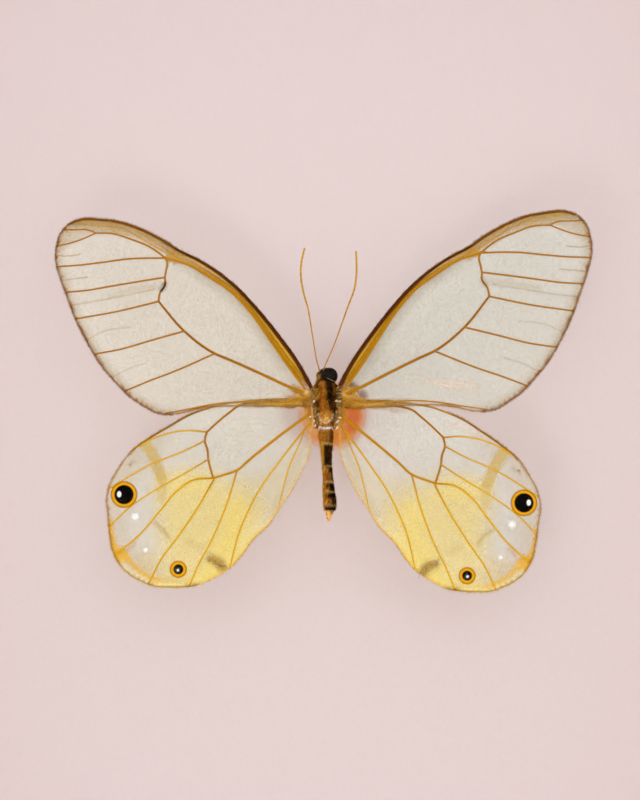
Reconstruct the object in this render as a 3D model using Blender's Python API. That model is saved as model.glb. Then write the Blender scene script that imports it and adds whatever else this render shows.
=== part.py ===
"""A spread glass-winged butterfly over a pale card, shut in a plain glazed box frame.

Lengths are in millimetres until a mesh is made, and the meshes are in metres. The frame stands
on its bottom rail and faces -Y. The origin is on the ground, under the middle of the frame.
Left and right are as seen from the front.
"""
import math

import bmesh
import bpy
from mathutils import Vector
from mathutils.geometry import delaunay_2d_cdt

MM = 0.001
GAP = 0.3

# The window, and the rails round it
WINDOW_WIDTH = 120.0
WINDOW_HEIGHT = 150.0
RAIL_FACE = 12.0
RAIL_DEPTH = 36.0
LIP_COVER = 4.0
LIP_DEPTH = 3.5
OUTER_ROUND = 1.5
LIP_ROUND = 0.8
ROUND_STEPS = 3

# The layers behind the lip, from front to back
GLASS_THICK = 2.0
SPACER_THICK = 3.4
SPACER_DEPTH = 22.0
CARD_THICK = 2.0
BOARD_THICK = 3.0
GLASS_FRONT = LIP_DEPTH + GAP
SPACER_FRONT = GLASS_FRONT + GLASS_THICK + GAP
CARD_FRONT = SPACER_FRONT + SPACER_DEPTH + GAP
BOARD_FRONT = CARD_FRONT + CARD_THICK + GAP
TAB_FRONT = BOARD_FRONT + BOARD_THICK + GAP

# Metal tabs that hold the back in
TAB_THICK = 0.5
TAB_WIDTH = 6.0
TAB_LENGTH = 11.0
TAB_HEIGHT_SHARE = 0.28

# The sawtooth hanger on the back of the top rail
HANGER_LENGTH = 40.0
HANGER_HEIGHT = 6.0
HANGER_THICK = 0.8
HANGER_TEETH = 9
TOOTH_PITCH = 2.6
TOOTH_DEPTH = 1.3
NAIL_RADIUS = 1.1
NAIL_THICK = 0.5
NAIL_INSET = 3.2
NAIL_SIDES = 16

HALF_WIDTH = WINDOW_WIDTH / 2
HALF_HEIGHT = WINDOW_HEIGHT / 2
HOLLOW_HALF_WIDTH = HALF_WIDTH + LIP_COVER
HOLLOW_HALF_HEIGHT = HALF_HEIGHT + LIP_COVER
WINDOW_MIDDLE = RAIL_FACE + HALF_HEIGHT
HANGER_PROUD = GAP + HANGER_THICK + GAP + NAIL_THICK
FRONT_Y = -(RAIL_DEPTH + HANGER_PROUD) / 2

# The insect: its middle line stands a little to the right of the window's middle
SPECIMEN_X = 0.75
WING_THICK = 0.12
RIDGE_SHARE = 0.8
PLEAT_DEPTH = 0.15
PLEAT_REACH = 2.5
MARGIN_STEP = 1.6
VEIN_STEP = 2.4
VEIN_PIECES = 6
FIELD_STEP = 4.2
FIELD_CLEAR = 1.1
VEIN_OVERRUN = 0.6
MERGE = 0.04

# Heights above the card, at the wing roots and along the wings
FOREWING_ROOT = 11.9
FOREWING_RISE = 0.05
FOREWING_CURL = 0.0004
HINDWING_ROOT = 11.2
HINDWING_RISE = 0.04
HINDWING_DROP = 0.09

# How each wing is set: its turn in degrees, its shift out and up, its size, and how far its
# front and back margins are rolled in. The left wings are as charted.
LEFT_SET = {"turn": 0.0, "out": 0.0, "up": 0.0, "size": 1.0, "front_roll": 0.0, "back_roll": 0.0}
FOREWING_RIGHT_SET = {
    "turn": 2.1, "out": -0.27, "up": -0.25, "size": 1.01, "front_roll": 0.3, "back_roll": -0.08}
HINDWING_RIGHT_SET = {
    "turn": -1.95, "out": -0.09, "up": -0.18, "size": 1.0, "front_roll": -0.32, "back_roll": 0.24}

# The support under the thorax, and the pin in it
PLUG_X = 0.75
PLUG_Z = -2.0
PLUG_RADIUS = 4.35
PLUG_HEIGHT = 8.0
PLUG_POWER = 2.4
PLUG_SIDES = 28
PLUG_RINGS = 8
PIN_RADIUS = 0.22
PIN_BOTTOM = 1.2
PIN_TOP = 10.0
PIN_Z = -0.3
PIN_SIDES = 12
PIN_CLEARANCE = 0.15

# Forewing, outward from the body's middle line and up from the wings' hinge line.
# The margin runs from the front of the root, round the tip, to the back of the root.
FOREWING_MARGIN = [
    (1.6, 1.6), (3.25, 4.6), (5.75, 8.1), (8.25, 11.2), (10.75, 13.9), (13.25, 16.0),
    (15.75, 17.6), (18.25, 18.8), (20.75, 20.3), (23.25, 21.5), (25.75, 22.3), (28.25, 22.6),
    (30.5, 22.6), (32.0, 22.0), (33.1, 20.75), (33.6, 19.1), (33.7, 17.5), (33.0, 14.8),
    (32.2, 12.6), (31.2, 10.0), (29.2, 6.1), (28.0, 4.2), (26.0, 1.9), (24.5, 0.4),
    (22.9, -0.7), (21.25, -1.6), (19.5, -1.85), (17.75, -1.6), (15.75, -1.1), (12.6, -0.8),
    (8.9, -0.8), (5.4, -0.9), (4.1, -1.0), (3.25, -0.75), (1.9, -0.1),
]
FOREWING_TIP = 13
FOREWING_COSTA = (0.28, 0.16)

# Each vein: its radius where it starts, its radius where it ends, and its line
FOREWING_VEINS = {
    "radius": (0.20, 0.15, [
        (2.6, 1.4), (4.5, 3.9), (7.0, 7.5), (9.5, 11.0), (12.0, 13.6), (14.5, 15.25),
        (17.0, 16.75), (20.0, 17.7)]),
    "radial_stem": (0.15, 0.13, [
        (20.0, 17.7), (22.0, 19.1), (24.5, 20.1), (26.6, 20.75), (28.65, 20.8)]),
    "radial_upper": (0.12, 0.11, [(28.65, 20.8), (29.7, 21.2), (31.1, 21.2), (32.8, 21.2)]),
    "radial_lower": (0.12, 0.11, [(28.65, 20.8), (30.75, 19.9), (32.0, 19.5), (33.5, 19.2)]),
    "subcostal_outer": (0.11, 0.10, [
        (18.6, 17.7), (20.9, 18.9), (23.1, 20.2), (25.4, 21.4), (26.9, 22.2)]),
    "cell_end": (0.16, 0.16, [
        (20.0, 17.7), (19.8, 17.1), (19.95, 16.2), (20.1, 15.3), (20.05, 14.4),
        (20.7, 13.4), (20.9, 12.3)]),
    "medial_1": (0.15, 0.13, [
        (20.0, 17.7), (22.0, 17.7), (24.5, 17.6), (28.25, 17.1), (30.75, 16.8), (33.6, 16.6)]),
    "medial_2": (0.15, 0.13, [
        (20.1, 15.3), (22.6, 14.9), (27.0, 14.15), (29.5, 13.7), (32.6, 13.4)]),
    "medial_3": (0.15, 0.13, [(20.9, 12.3), (23.25, 11.7), (25.75, 11.1), (31.2, 10.1)]),
    "cubitus": (0.25, 0.17, [
        (2.9, 1.0), (4.5, 1.6), (7.0, 2.75), (9.5, 3.9), (12.0, 5.0), (13.9, 5.8),
        (17.7, 8.6), (20.9, 12.3)]),
    "cubital_1": (0.15, 0.13, [(17.7, 8.6), (21.6, 7.5), (25.75, 6.3), (29.0, 5.7)]),
    "cubital_2": (0.15, 0.13, [(13.9, 5.8), (19.1, 3.5), (22.0, 2.4), (25.0, 1.15)]),
    "anal": (0.14, 0.10, [
        (2.6, 0.25), (4.5, -0.25), (7.0, -0.3), (11.4, -0.25), (14.5, -0.6), (17.0, -1.1),
        (19.25, -1.5)]),
}

# Hindwing, on the same two lines
HINDWING_MARGIN = [
    (1.9, -0.4), (4.5, 0.25), (7.0, 0.25), (10.75, -0.1), (12.6, -0.3), (15.1, -1.0),
    (17.0, -1.7), (19.5, -3.1), (22.0, -4.6), (24.25, -6.25), (26.0, -8.6), (27.0, -10.4),
    (27.4, -12.1), (27.25, -14.1), (27.0, -16.5), (26.7, -18.5), (26.1, -20.0),
    (24.5, -21.75), (23.0, -22.6), (21.4, -23.2), (19.5, -23.35), (17.6, -23.3),
    (16.1, -23.1), (14.5, -22.4), (12.5, -21.3), (10.75, -19.6), (9.25, -17.5),
    (7.0, -15.3), (5.9, -13.6), (4.5, -11.6), (3.25, -9.25), (2.1, -6.6), (1.9, -4.6),
    (1.75, -2.5),
]
HINDWING_TIP = 9
HINDWING_COSTA = (0.16, 0.14)
HINDWING_VEINS = {
    "radius": (0.20, 0.16, [
        (2.6, -0.75), (5.75, -0.45), (9.5, -0.35), (11.0, -0.75), (12.0, -1.5),
        (13.25, -2.5), (14.9, -4.0)]),
    "sector": (0.14, 0.12, [
        (14.9, -4.0), (17.0, -3.8), (19.5, -4.1), (21.75, -4.9), (24.0, -6.1)]),
    "cell_end": (0.18, 0.16, [
        (14.9, -4.0), (15.15, -5.1), (14.8, -6.25), (14.7, -7.4), (14.1, -9.75)]),
    "medial_1": (0.13, 0.12, [
        (15.15, -5.1), (17.6, -6.3), (22.0, -8.1), (24.5, -9.5), (27.25, -11.2)]),
    "medial_2": (0.13, 0.12, [
        (14.7, -7.4), (17.0, -8.8), (20.75, -10.9), (24.5, -13.4), (26.9, -15.7)]),
    "medial_3": (0.17, 0.14, [
        (14.1, -9.75), (16.6, -10.0), (18.5, -11.25), (20.75, -13.9), (23.25, -16.8),
        (26.4, -19.4)]),
    "cubital_1": (0.16, 0.14, [
        (14.0, -9.9), (15.75, -13.0), (18.25, -16.75), (20.75, -20.2), (21.9, -22.5)]),
    "cubital_2": (0.15, 0.13, [
        (11.1, -8.75), (12.25, -12.6), (14.4, -17.75), (15.75, -20.25), (16.9, -22.9)]),
    "cubitus": (0.24, 0.18, [
        (2.25, -1.9), (4.5, -3.5), (7.0, -5.4), (9.5, -7.4), (11.1, -8.75), (12.6, -9.3),
        (14.1, -9.75)]),
    "anal_2": (0.15, 0.13, [
        (2.1, -3.0), (3.25, -4.4), (5.75, -7.6), (8.25, -11.1), (9.5, -13.4),
        (10.75, -16.25), (11.9, -20.5)]),
    "anal_3": (0.11, 0.10, [
        (2.75, -4.0), (3.6, -6.1), (4.5, -8.1), (5.1, -10.1), (5.9, -13.25)]),
}

# Body rings from the tail to the crown: how far up, across, half width, half depth, height
BODY_RINGS = [
    (-15.25, 0.31, 0.12, 0.12, 10.35), (-14.5, 0.38, 0.38, 0.36, 10.35),
    (-13.9, 0.45, 0.60, 0.55, 10.35), (-13.5, 0.48, 0.70, 0.66, 10.38),
    (-12.5, 0.45, 0.74, 0.74, 10.42), (-11.2, 0.33, 0.68, 0.74, 10.50),
    (-10.0, 0.25, 0.57, 0.68, 10.58), (-8.1, 0.12, 0.54, 0.66, 10.70),
    (-6.9, 0.05, 0.59, 0.70, 10.80), (-5.5, 0.03, 0.74, 0.82, 10.90),
    (-4.4, -0.02, 0.80, 0.90, 10.95), (-3.75, -0.04, 0.70, 0.82, 10.95),
    (-3.3, -0.05, 0.98, 1.25, 10.98), (-2.4, -0.05, 1.12, 1.60, 11.00),
    (-1.2, -0.03, 1.22, 1.90, 11.00), (0.2, 0.00, 1.30, 2.00, 11.00),
    (1.4, -0.02, 1.40, 1.90, 11.02), (2.1, -0.05, 1.34, 1.60, 11.10),
    (2.5, -0.02, 0.90, 0.95, 11.20), (3.0, 0.05, 0.95, 1.00, 11.25),
    (3.6, 0.05, 0.85, 0.90, 11.25), (4.0, 0.05, 0.45, 0.50, 11.25),
]
BODY_SIDES = 16

# The head is turned, so its right eye faces forward: up, across, height, radius
EYES = [(3.0, 0.42, 11.65, 1.07), (3.05, -0.60, 10.95, 0.62)]
EYE_SIDES = 16
EYE_RINGS = 10

# Antennae: across, up and height, from the head to the tip
ANTENNAE = {
    "antenna_left": [
        (-0.90, 4.05, 11.9), (-1.10, 4.7, 12.1), (-1.55, 7.2, 12.3), (-1.9, 9.4, 12.5),
        (-2.25, 11.4, 12.6), (-2.8, 13.4, 12.7), (-3.1, 15.0, 12.8), (-3.15, 16.5, 12.9),
        (-2.95, 17.8, 13.0), (-2.65, 19.0, 13.0)],
    "antenna_right": [
        (-0.20, 4.25, 12.2), (0.28, 5.2, 12.3), (1.1, 7.1, 12.4), (2.0, 9.6, 12.5),
        (2.75, 11.7, 12.6), (3.55, 13.9, 12.7), (3.8, 15.9, 12.8), (3.8, 17.2, 12.9),
        (3.75, 18.6, 13.0)],
}
ANTENNA_RADIUS = 0.09
ANTENNA_CLUB = 0.06
ANTENNA_STEP = 0.8
THREAD_SIDES = 1

# Walking legs folded under the body: across, up and height, from the hip to the foot
LEGS = {
    "middle_leg": [
        (0.40, 0.8, 8.65), (0.60, 2.2, 8.85), (0.80, 3.4, 9.35), (0.78, 2.4, 8.60),
        (0.80, 0.4, 8.45), (0.70, -1.6, 8.55), (0.55, -3.2, 8.75)],
    "hind_leg": [
        (0.30, -1.4, 8.65), (0.34, -3.0, 8.95), (0.32, -4.6, 9.30), (0.30, -6.6, 9.35),
        (0.26, -8.4, 9.30), (0.22, -10.4, 9.20)],
}
LEG_RADIUS = 0.15
LEG_TAPER = 0.45
LEG_STEP = 0.9

# Finishes: name, colour, roughness, metallic share, and how much light goes through
WOOD = ("pale_wood", (0.74, 0.60, 0.44), 0.55, 0.0, 0.0)
GLASS = ("clear_glass", (0.97, 0.98, 0.98), 0.02, 0.0, 1.0)
CARD = ("pink_card", (0.81, 0.65, 0.63), 0.9, 0.0, 0.0)
BOARD = ("brown_board", (0.33, 0.22, 0.14), 0.85, 0.0, 0.0)
STEEL = ("bright_steel", (0.62, 0.62, 0.63), 0.32, 1.0, 0.0)
FOAM = ("orange_foam", (0.80, 0.28, 0.06), 0.7, 0.0, 0.0)
FUR = ("brown_fur", (0.27, 0.13, 0.04), 0.8, 0.0, 0.0)
AMBER = ("amber_shell", (0.62, 0.34, 0.06), 0.45, 0.0, 0.0)
CLEAR_WING = ("clear_wing", (0.72, 0.68, 0.54), 0.4, 0.0, 0.5)
YELLOW_WING = ("yellow_wing", (0.84, 0.72, 0.34), 0.4, 0.0, 0.3)


def clear_scene():
    """Take away whatever the scene holds."""
    for old in list(bpy.data.objects):
        bpy.data.objects.remove(old, do_unlink=True)


def material_of(finish):
    """The plain surface that a finish names, made once."""
    name, colour, roughness, metallic, clear = finish
    found = bpy.data.materials.get(name)
    if found:
        return found
    made = bpy.data.materials.new(name)
    made.use_nodes = True
    surface = made.node_tree.nodes["Principled BSDF"]
    surface.inputs["Base Color"].default_value = (*colour, 1.0)
    surface.inputs["Roughness"].default_value = roughness
    surface.inputs["Metallic"].default_value = metallic
    surface.inputs["Transmission Weight"].default_value = clear
    return made


def place(across, up, depth):
    """A point in metres: across the frame, up from the ground, back from the frame's front."""
    return Vector((across, FRONT_Y + depth, up)) * MM


def on_card(across, up, height):
    """A point of the insect in metres: from its middle line, its hinge line and the card."""
    return place(SPECIMEN_X + across, WINDOW_MIDDLE + up, CARD_FRONT - height)


def add_piece(name, shape, finish):
    """Put a mesh or a curve in the scene as one named piece."""
    piece = bpy.data.objects.new(name, shape)
    bpy.context.scene.collection.objects.link(piece)
    shape.materials.append(material_of(finish))
    return piece


def add_solid(name, points, faces, finish, smooth=False):
    """A closed solid from points and faces, with its faces turned outward."""
    work = bmesh.new()
    corners = [work.verts.new(point) for point in points]
    for face in faces:
        work.faces.new([corners[index] for index in face])
    bmesh.ops.recalc_face_normals(work, faces=work.faces)
    mesh = bpy.data.meshes.new(name)
    work.to_mesh(mesh)
    work.free()
    if smooth:
        mesh.shade_smooth()
        mesh.set_sharp_from_angle(angle=math.radians(40))
    return add_piece(name, mesh, finish)


def loft(name, rings, finish, smooth=False):
    """A solid through rings that have the same number of points, with flat ends."""
    sides = len(rings[0])
    points = [point for ring in rings for point in ring]
    faces = [list(range(sides)), list(range(len(points) - sides, len(points)))]
    for low in range(0, len(points) - sides, sides):
        for side in range(sides):
            after = (side + 1) % sides
            faces.append([low + side, low + after, low + sides + after, low + sides + side])
    return add_solid(name, points, faces, finish, smooth)


def slab(name, half_width, half_height, depth, thick, finish):
    """A flat sheet behind the window, of its half width, half height, depth and thickness."""
    rings = []
    for layer in (depth, depth + thick):
        corners = [(-1, -1), (1, -1), (1, 1), (-1, 1)]
        rings.append([
            place(right * half_width, WINDOW_MIDDLE + high * half_height, layer)
            for right, high in corners])
    return loft(name, rings, finish)


def block(name, low, high, finish):
    """A box between two corners, each across, up and back."""
    rings = []
    for layer in (low[2], high[2]):
        rings.append([
            place(low[0], low[1], layer), place(high[0], low[1], layer),
            place(high[0], high[1], layer), place(low[0], high[1], layer)])
    return loft(name, rings, finish)


def corner_arc(middle, radius, start):
    """A quarter circle of profile points, from a start angle in degrees, turning clockwise."""
    arc = []
    for step in range(ROUND_STEPS + 1):
        angle = math.radians(start - 90 * step / ROUND_STEPS)
        arc.append((middle[0] + radius * math.cos(angle), middle[1] - radius * math.sin(angle)))
    return arc


def rail_profile():
    """The rail's section: out from the window's edge, and back from the front."""
    profile = corner_arc((LIP_ROUND, LIP_ROUND), LIP_ROUND, 180)
    profile += corner_arc((RAIL_FACE - OUTER_ROUND, OUTER_ROUND), OUTER_ROUND, 90)
    profile += [
        (RAIL_FACE, RAIL_DEPTH), (LIP_COVER, RAIL_DEPTH), (LIP_COVER, LIP_DEPTH), (0, LIP_DEPTH)]
    return profile


def add_rails():
    """Four mitred rails, with a hair's gap in each mitre."""
    profile = rail_profile()
    sides = {
        "rail_bottom": (HALF_WIDTH, HALF_HEIGHT, lambda run, out: (run, -out)),
        "rail_top": (HALF_WIDTH, HALF_HEIGHT, lambda run, out: (run, out)),
        "rail_left": (HALF_HEIGHT, HALF_WIDTH, lambda run, out: (-out, run)),
        "rail_right": (HALF_HEIGHT, HALF_WIDTH, lambda run, out: (out, run)),
    }
    for name, (half_run, half_out, turn) in sides.items():
        rings = []
        for end in (-1, 1):
            ring = []
            for out, depth in profile:
                across, up = turn(end * (half_run + out - GAP / 2), half_out + out)
                ring.append(place(across, WINDOW_MIDDLE + up, depth))
            rings.append(ring)
        loft(name, rings, WOOD)


def add_layers():
    """Glass, spacers, card and back board, stacked behind the lip."""
    half_width = HOLLOW_HALF_WIDTH - GAP
    half_height = HOLLOW_HALF_HEIGHT - GAP
    slab("glass_pane", half_width, half_height, GLASS_FRONT, GLASS_THICK, GLASS)
    slab("backing_card", half_width, half_height, CARD_FRONT, CARD_THICK, CARD)
    slab("back_board", half_width, half_height, BOARD_FRONT, BOARD_THICK, BOARD)
    back = SPACER_FRONT + SPACER_DEPTH
    inner = half_width - SPACER_THICK
    for name, side in (("spacer_left", -1), ("spacer_right", 1)):
        edges = sorted((side * inner, side * half_width))
        block(name, (edges[0], WINDOW_MIDDLE - half_height, SPACER_FRONT),
              (edges[1], WINDOW_MIDDLE + half_height, back), CARD)
    for name, side in (("spacer_bottom", -1), ("spacer_top", 1)):
        edges = sorted((side * (half_height - SPACER_THICK), side * half_height))
        block(name, (GAP - inner, WINDOW_MIDDLE + edges[0], SPACER_FRONT),
              (inner - GAP, WINDOW_MIDDLE + edges[1], back), CARD)


def add_tabs():
    """Six flat tabs over the edges of the back board."""
    near = HOLLOW_HALF_WIDTH - GAP
    top = HOLLOW_HALF_HEIGHT - GAP
    level = WINDOW_HEIGHT * TAB_HEIGHT_SHARE
    half = TAB_WIDTH / 2
    back = TAB_FRONT + TAB_THICK
    for side_name, side in (("left", -1), ("right", 1)):
        edges = sorted((side * near, side * (near - TAB_LENGTH)))
        for level_name, up in (("lower", -level), ("upper", level)):
            middle = WINDOW_MIDDLE + up
            block(f"tab_{side_name}_{level_name}", (edges[0], middle - half, TAB_FRONT),
                  (edges[1], middle + half, back), STEEL)
    for name, side in (("tab_bottom", -1), ("tab_top", 1)):
        edges = sorted((side * top, side * (top - TAB_LENGTH)))
        block(name, (-half, WINDOW_MIDDLE + edges[0], TAB_FRONT),
              (half, WINDOW_MIDDLE + edges[1], back), STEEL)


def add_hanger():
    """A sawtooth strip on the back of the top rail, and its two nails."""
    front = RAIL_DEPTH + GAP
    middle = WINDOW_MIDDLE + HALF_HEIGHT + (LIP_COVER + RAIL_FACE) / 2
    top = middle + HANGER_HEIGHT / 2
    low = middle - HANGER_HEIGHT / 2
    outline = [(-HANGER_LENGTH / 2, low), (-HANGER_LENGTH / 2, top),
               (HANGER_LENGTH / 2, top), (HANGER_LENGTH / 2, low)]
    for tooth in range(HANGER_TEETH):
        middle_x = (HANGER_TEETH / 2 - 0.5 - tooth) * TOOTH_PITCH
        outline += [(middle_x + TOOTH_PITCH * 0.45, low), (middle_x, low + TOOTH_DEPTH),
                    (middle_x - TOOTH_PITCH * 0.45, low)]
    rings = [[place(x, z, depth) for x, z in outline]
             for depth in (front, front + HANGER_THICK)]
    loft("hanger", rings, STEEL)
    nail_front = front + HANGER_THICK + GAP
    for name, side in (("hanger_nail_left", -1), ("hanger_nail_right", 1)):
        across = side * (HANGER_LENGTH / 2 - NAIL_INSET)
        rings = []
        for depth, share in ((nail_front, 1.0), (nail_front + NAIL_THICK, 0.6)):
            rings.append([
                place(across + share * x, middle + share * z, depth)
                for x, z in circle(NAIL_RADIUS, NAIL_SIDES)])
        loft(name, rings, STEEL, smooth=True)


def circle(radius, sides):
    """Points of a flat circle round the origin."""
    turns = [2 * math.pi * side / sides for side in range(sides)]
    return [(radius * math.cos(turn), radius * math.sin(turn)) for turn in turns]


def slopes(points):
    """The direction of a smooth curve at each of its points, for an even speed."""
    found = []
    last = len(points) - 1
    for index, point in enumerate(points):
        before = point - points[index - 1] if index > 0 else None
        after = points[index + 1] - point if index < last else None
        if before is None:
            found.append(after.normalized())
        elif after is None:
            found.append(before.normalized())
        else:
            near, far = before.length, after.length
            found.append((before / near * far + after / far * near) / (near + far))
    return found


def smooth_line(points, step):
    """A smooth curve through the points, as points about one step apart."""
    knots = [Vector(point) for point in points]
    directions = slopes(knots)
    line = [knots[0]]
    for index in range(len(knots) - 1):
        start, end = knots[index], knots[index + 1]
        span = (end - start).length
        pieces = max(1, round(span / step))
        for piece in range(1, pieces + 1):
            share = piece / pieces
            bend = share * share * (3 - 2 * share)
            leave = share * (1 - share) ** 2 * span
            arrive = share * share * (1 - share) * span
            line.append(start * (1 - bend) + end * bend
                        + directions[index] * leave - directions[index + 1] * arrive)
    return line


def even_line(points, step):
    """A smooth curve through the points, with its points evenly one step apart."""
    fine = smooth_line(points, step / 8)
    line = [fine[0]]
    for point in fine[1:]:
        if (point - line[-1]).length >= step:
            line.append(point)
    if (fine[-1] - line[-1]).length < step / 2:
        line.pop()
    line.append(fine[-1])
    return line


def side_steps(line):
    """The unit step to the left of a flat line, at each of its points."""
    steps = []
    for direction in slopes(line):
        steps.append(Vector((-direction.y, direction.x)).normalized())
    return steps


def inside(point, outline):
    """Whether a flat point is inside a closed outline."""
    crossings = 0
    for index, start in enumerate(outline):
        end = outline[index - 1]
        if (start.y > point.y) != (end.y > point.y):
            share = (point.y - start.y) / (end.y - start.y)
            if point.x < start.x + share * (end.x - start.x):
                crossings += 1
    return crossings % 2 == 1


def distance_to(point, start, end):
    """How far a flat point is from a short straight run, and how far along it lies, 0 to 1."""
    run = end - start
    share = max(0.0, min(1.0, (point - start).dot(run) / run.length_squared))
    return (point - start - run * share).length, share


def vein_lines(margin, tip, costa, veins):
    """Every vein of a wing as a middle line with a radius at each point, and its sides to draw."""
    lines = []
    front = margin[:tip]
    inward = side_steps(front)
    start, end = costa
    middle = []
    radii = []
    for index, point in enumerate(front[1:], start=1):
        radius = start + (end - start) * index / len(front)
        middle.append(point - inward[index] * radius)
        radii.append(radius)
    lines.append((middle, radii, (-1,)))
    for start, end, points in veins.values():
        reach = sum((Vector(b) - Vector(a)).length for a, b in zip(points, points[1:]))
        middle = even_line(points, min(VEIN_STEP, reach / VEIN_PIECES))
        if near_margin(middle[-1], margin):
            middle.append(middle[-1] + (middle[-1] - middle[-2]).normalized() * VEIN_OVERRUN)
        last = len(middle) - 1
        radii = [start + (end - start) * index / last for index in range(last + 1)]
        lines.append((middle, radii, (1, -1)))
    return lines


def near_margin(point, margin):
    """Whether a vein ends so near the wing's margin that it runs out through it."""
    return min((point - other).length for other in margin) < MARGIN_STEP


def ridge_height(point, lines):
    """How far the veins stand out of the wing at a point, and how far the nearest vein is."""
    height = 0.0
    nearest = PLEAT_REACH
    for middle, radii, _ in lines:
        for index in range(len(middle) - 1):
            gap, share = distance_to(point, middle[index], middle[index + 1])
            nearest = min(nearest, gap)
            radius = radii[index] + (radii[index + 1] - radii[index]) * share
            if gap < radius:
                height = max(height, RIDGE_SHARE * math.sqrt(radius ** 2 - gap ** 2))
    return height, nearest


def field_points(margin, lines):
    """Evenly spread points in the clear fields between the veins."""
    spread = []
    columns = range(int(max(point.x for point in margin) / FIELD_STEP) + 1)
    top = max(point.y for point in margin)
    bottom = min(point.y for point in margin)
    rows = range(int((top - bottom) / FIELD_STEP) + 1)
    for column in columns:
        for row in rows:
            shift = FIELD_STEP / 2 if row % 2 else 0.0
            point = Vector((column * FIELD_STEP + shift, bottom + row * FIELD_STEP))
            clear = ridge_height(point, lines)[1] > FIELD_CLEAR
            edge = min((point - other).length for other in margin) > FIELD_CLEAR
            if clear and edge and inside(point, margin):
                spread.append(point)
    return spread


def wing_sheet(margin, lines):
    """Flat triangles over a wing, with edges along its margin and each vein's middle and sides."""
    points = list(margin)
    edges = [(index, (index + 1) % len(margin)) for index in range(len(margin))]
    for middle, radii, sides in lines:
        left = side_steps(middle)
        for offset in (0, *sides):
            first = len(points)
            for index, point in enumerate(middle):
                points.append(point + left[index] * radii[index] * offset)
            edges += [(index, index + 1) for index in range(first, len(points) - 1)]
    points += field_points(margin, lines)
    joined, _, faces, *_ = delaunay_2d_cdt(points, edges, [], 0, MERGE)
    kept = []
    for face in faces:
        middle = sum((joined[index] for index in face), Vector((0, 0))) / len(face)
        if inside(middle, margin):
            kept.append(face)
    used = sorted({index for face in kept for index in face})
    renamed = {old: new for new, old in enumerate(used)}
    kept = [[renamed[index] for index in face] for face in kept]
    return [joined[index] for index in used], kept


def rolled(points, tip, front_roll, back_roll):
    """A margin with its front and back edges moved inward, most in their middles."""
    line = [Vector(point) for point in points]
    inward = side_steps(line)
    moved = []
    for index, point in enumerate(line):
        if index < tip:
            amount = front_roll * math.sin(math.pi * index / tip)
        else:
            amount = back_roll * math.sin(math.pi * (index - tip) / (len(line) - 1 - tip))
        moved.append(point - inward[index] * amount)
    return moved


def forewing_height(point):
    """A forewing's height above the card."""
    return FOREWING_ROOT + FOREWING_RISE * point.x + FOREWING_CURL * point.x ** 2


def hindwing_height(point):
    """A hindwing's height above the card."""
    return HINDWING_ROOT + HINDWING_RISE * point.x - HINDWING_DROP * point.y


def add_wing(name, side, setting, margin_points, tip, costa, veins, height_of, finish):
    """One wing as a thin closed sheet with its veins raised on both faces."""
    edge = rolled(margin_points, tip, setting["front_roll"], setting["back_roll"])
    margin = even_line(edge, MARGIN_STEP)
    front = next(index for index, point in enumerate(margin) if point.x >= edge[tip].x)
    lines = vein_lines(margin, front, costa, veins)
    sheet, faces = wing_sheet(margin, lines)
    turn = math.radians(setting["turn"])
    cosine = math.cos(turn) * setting["size"]
    sine = math.sin(turn) * setting["size"]
    tops = []
    bottoms = []
    for point in sheet:
        ridge, nearest = ridge_height(point, lines)
        sag = PLEAT_DEPTH * (nearest / PLEAT_REACH) ** 2
        middle = height_of(point) - sag
        half = WING_THICK / 2 + ridge
        out = point.x * cosine - point.y * sine + setting["out"]
        up = point.x * sine + point.y * cosine + setting["up"]
        tops.append(on_card(side * out, up, middle + half))
        bottoms.append(on_card(side * out, up, middle - half))
    count = len(sheet)
    uses = {}
    solid = []
    for face in faces:
        solid.append(face)
        solid.append([index + count for index in reversed(face)])
        for index, start in enumerate(face):
            edge = (start, face[(index + 1) % len(face)])
            uses[tuple(sorted(edge))] = None if tuple(sorted(edge)) in uses else edge
    for edge in uses.values():
        if edge:
            start, end = edge
            solid.append([end, start, start + count, end + count])
    add_solid(name, tops + bottoms, solid, finish)


def add_wings():
    """Two forewings over two hindwings."""
    for side_name, side in (("left", -1), ("right", 1)):
        setting = LEFT_SET if side < 0 else HINDWING_RIGHT_SET
        add_wing(f"hindwing_{side_name}", side, setting, HINDWING_MARGIN, HINDWING_TIP,
                 HINDWING_COSTA, HINDWING_VEINS, hindwing_height, YELLOW_WING)
        setting = LEFT_SET if side < 0 else FOREWING_RIGHT_SET
        add_wing(f"forewing_{side_name}", side, setting, FOREWING_MARGIN, FOREWING_TIP,
                 FOREWING_COSTA, FOREWING_VEINS, forewing_height, CLEAR_WING)


def standing_cylinder(name, across, up, low, high, radius, sides, finish):
    """A round bar that stands out of the card, between two heights above it."""
    rings = []
    for height in (low, high):
        rings.append([on_card(across + x, up + z, height) for x, z in circle(radius, sides)])
    return loft(name, rings, finish, smooth=True)


def cut(piece, cutter, name):
    """Take the cutter's shape out of a piece."""
    cutter.hide_render = True
    cutter.display_type = "WIRE"
    tool = piece.modifiers.new(name, "BOOLEAN")
    tool.operation = "DIFFERENCE"
    tool.solver = "EXACT"
    tool.object = cutter


def join(piece, other, name):
    """Make another solid part of a piece."""
    other.hide_render = True
    other.display_type = "WIRE"
    tool = piece.modifiers.new(name, "BOOLEAN")
    tool.operation = "UNION"
    tool.solver = "EXACT"
    tool.object = other


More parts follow.
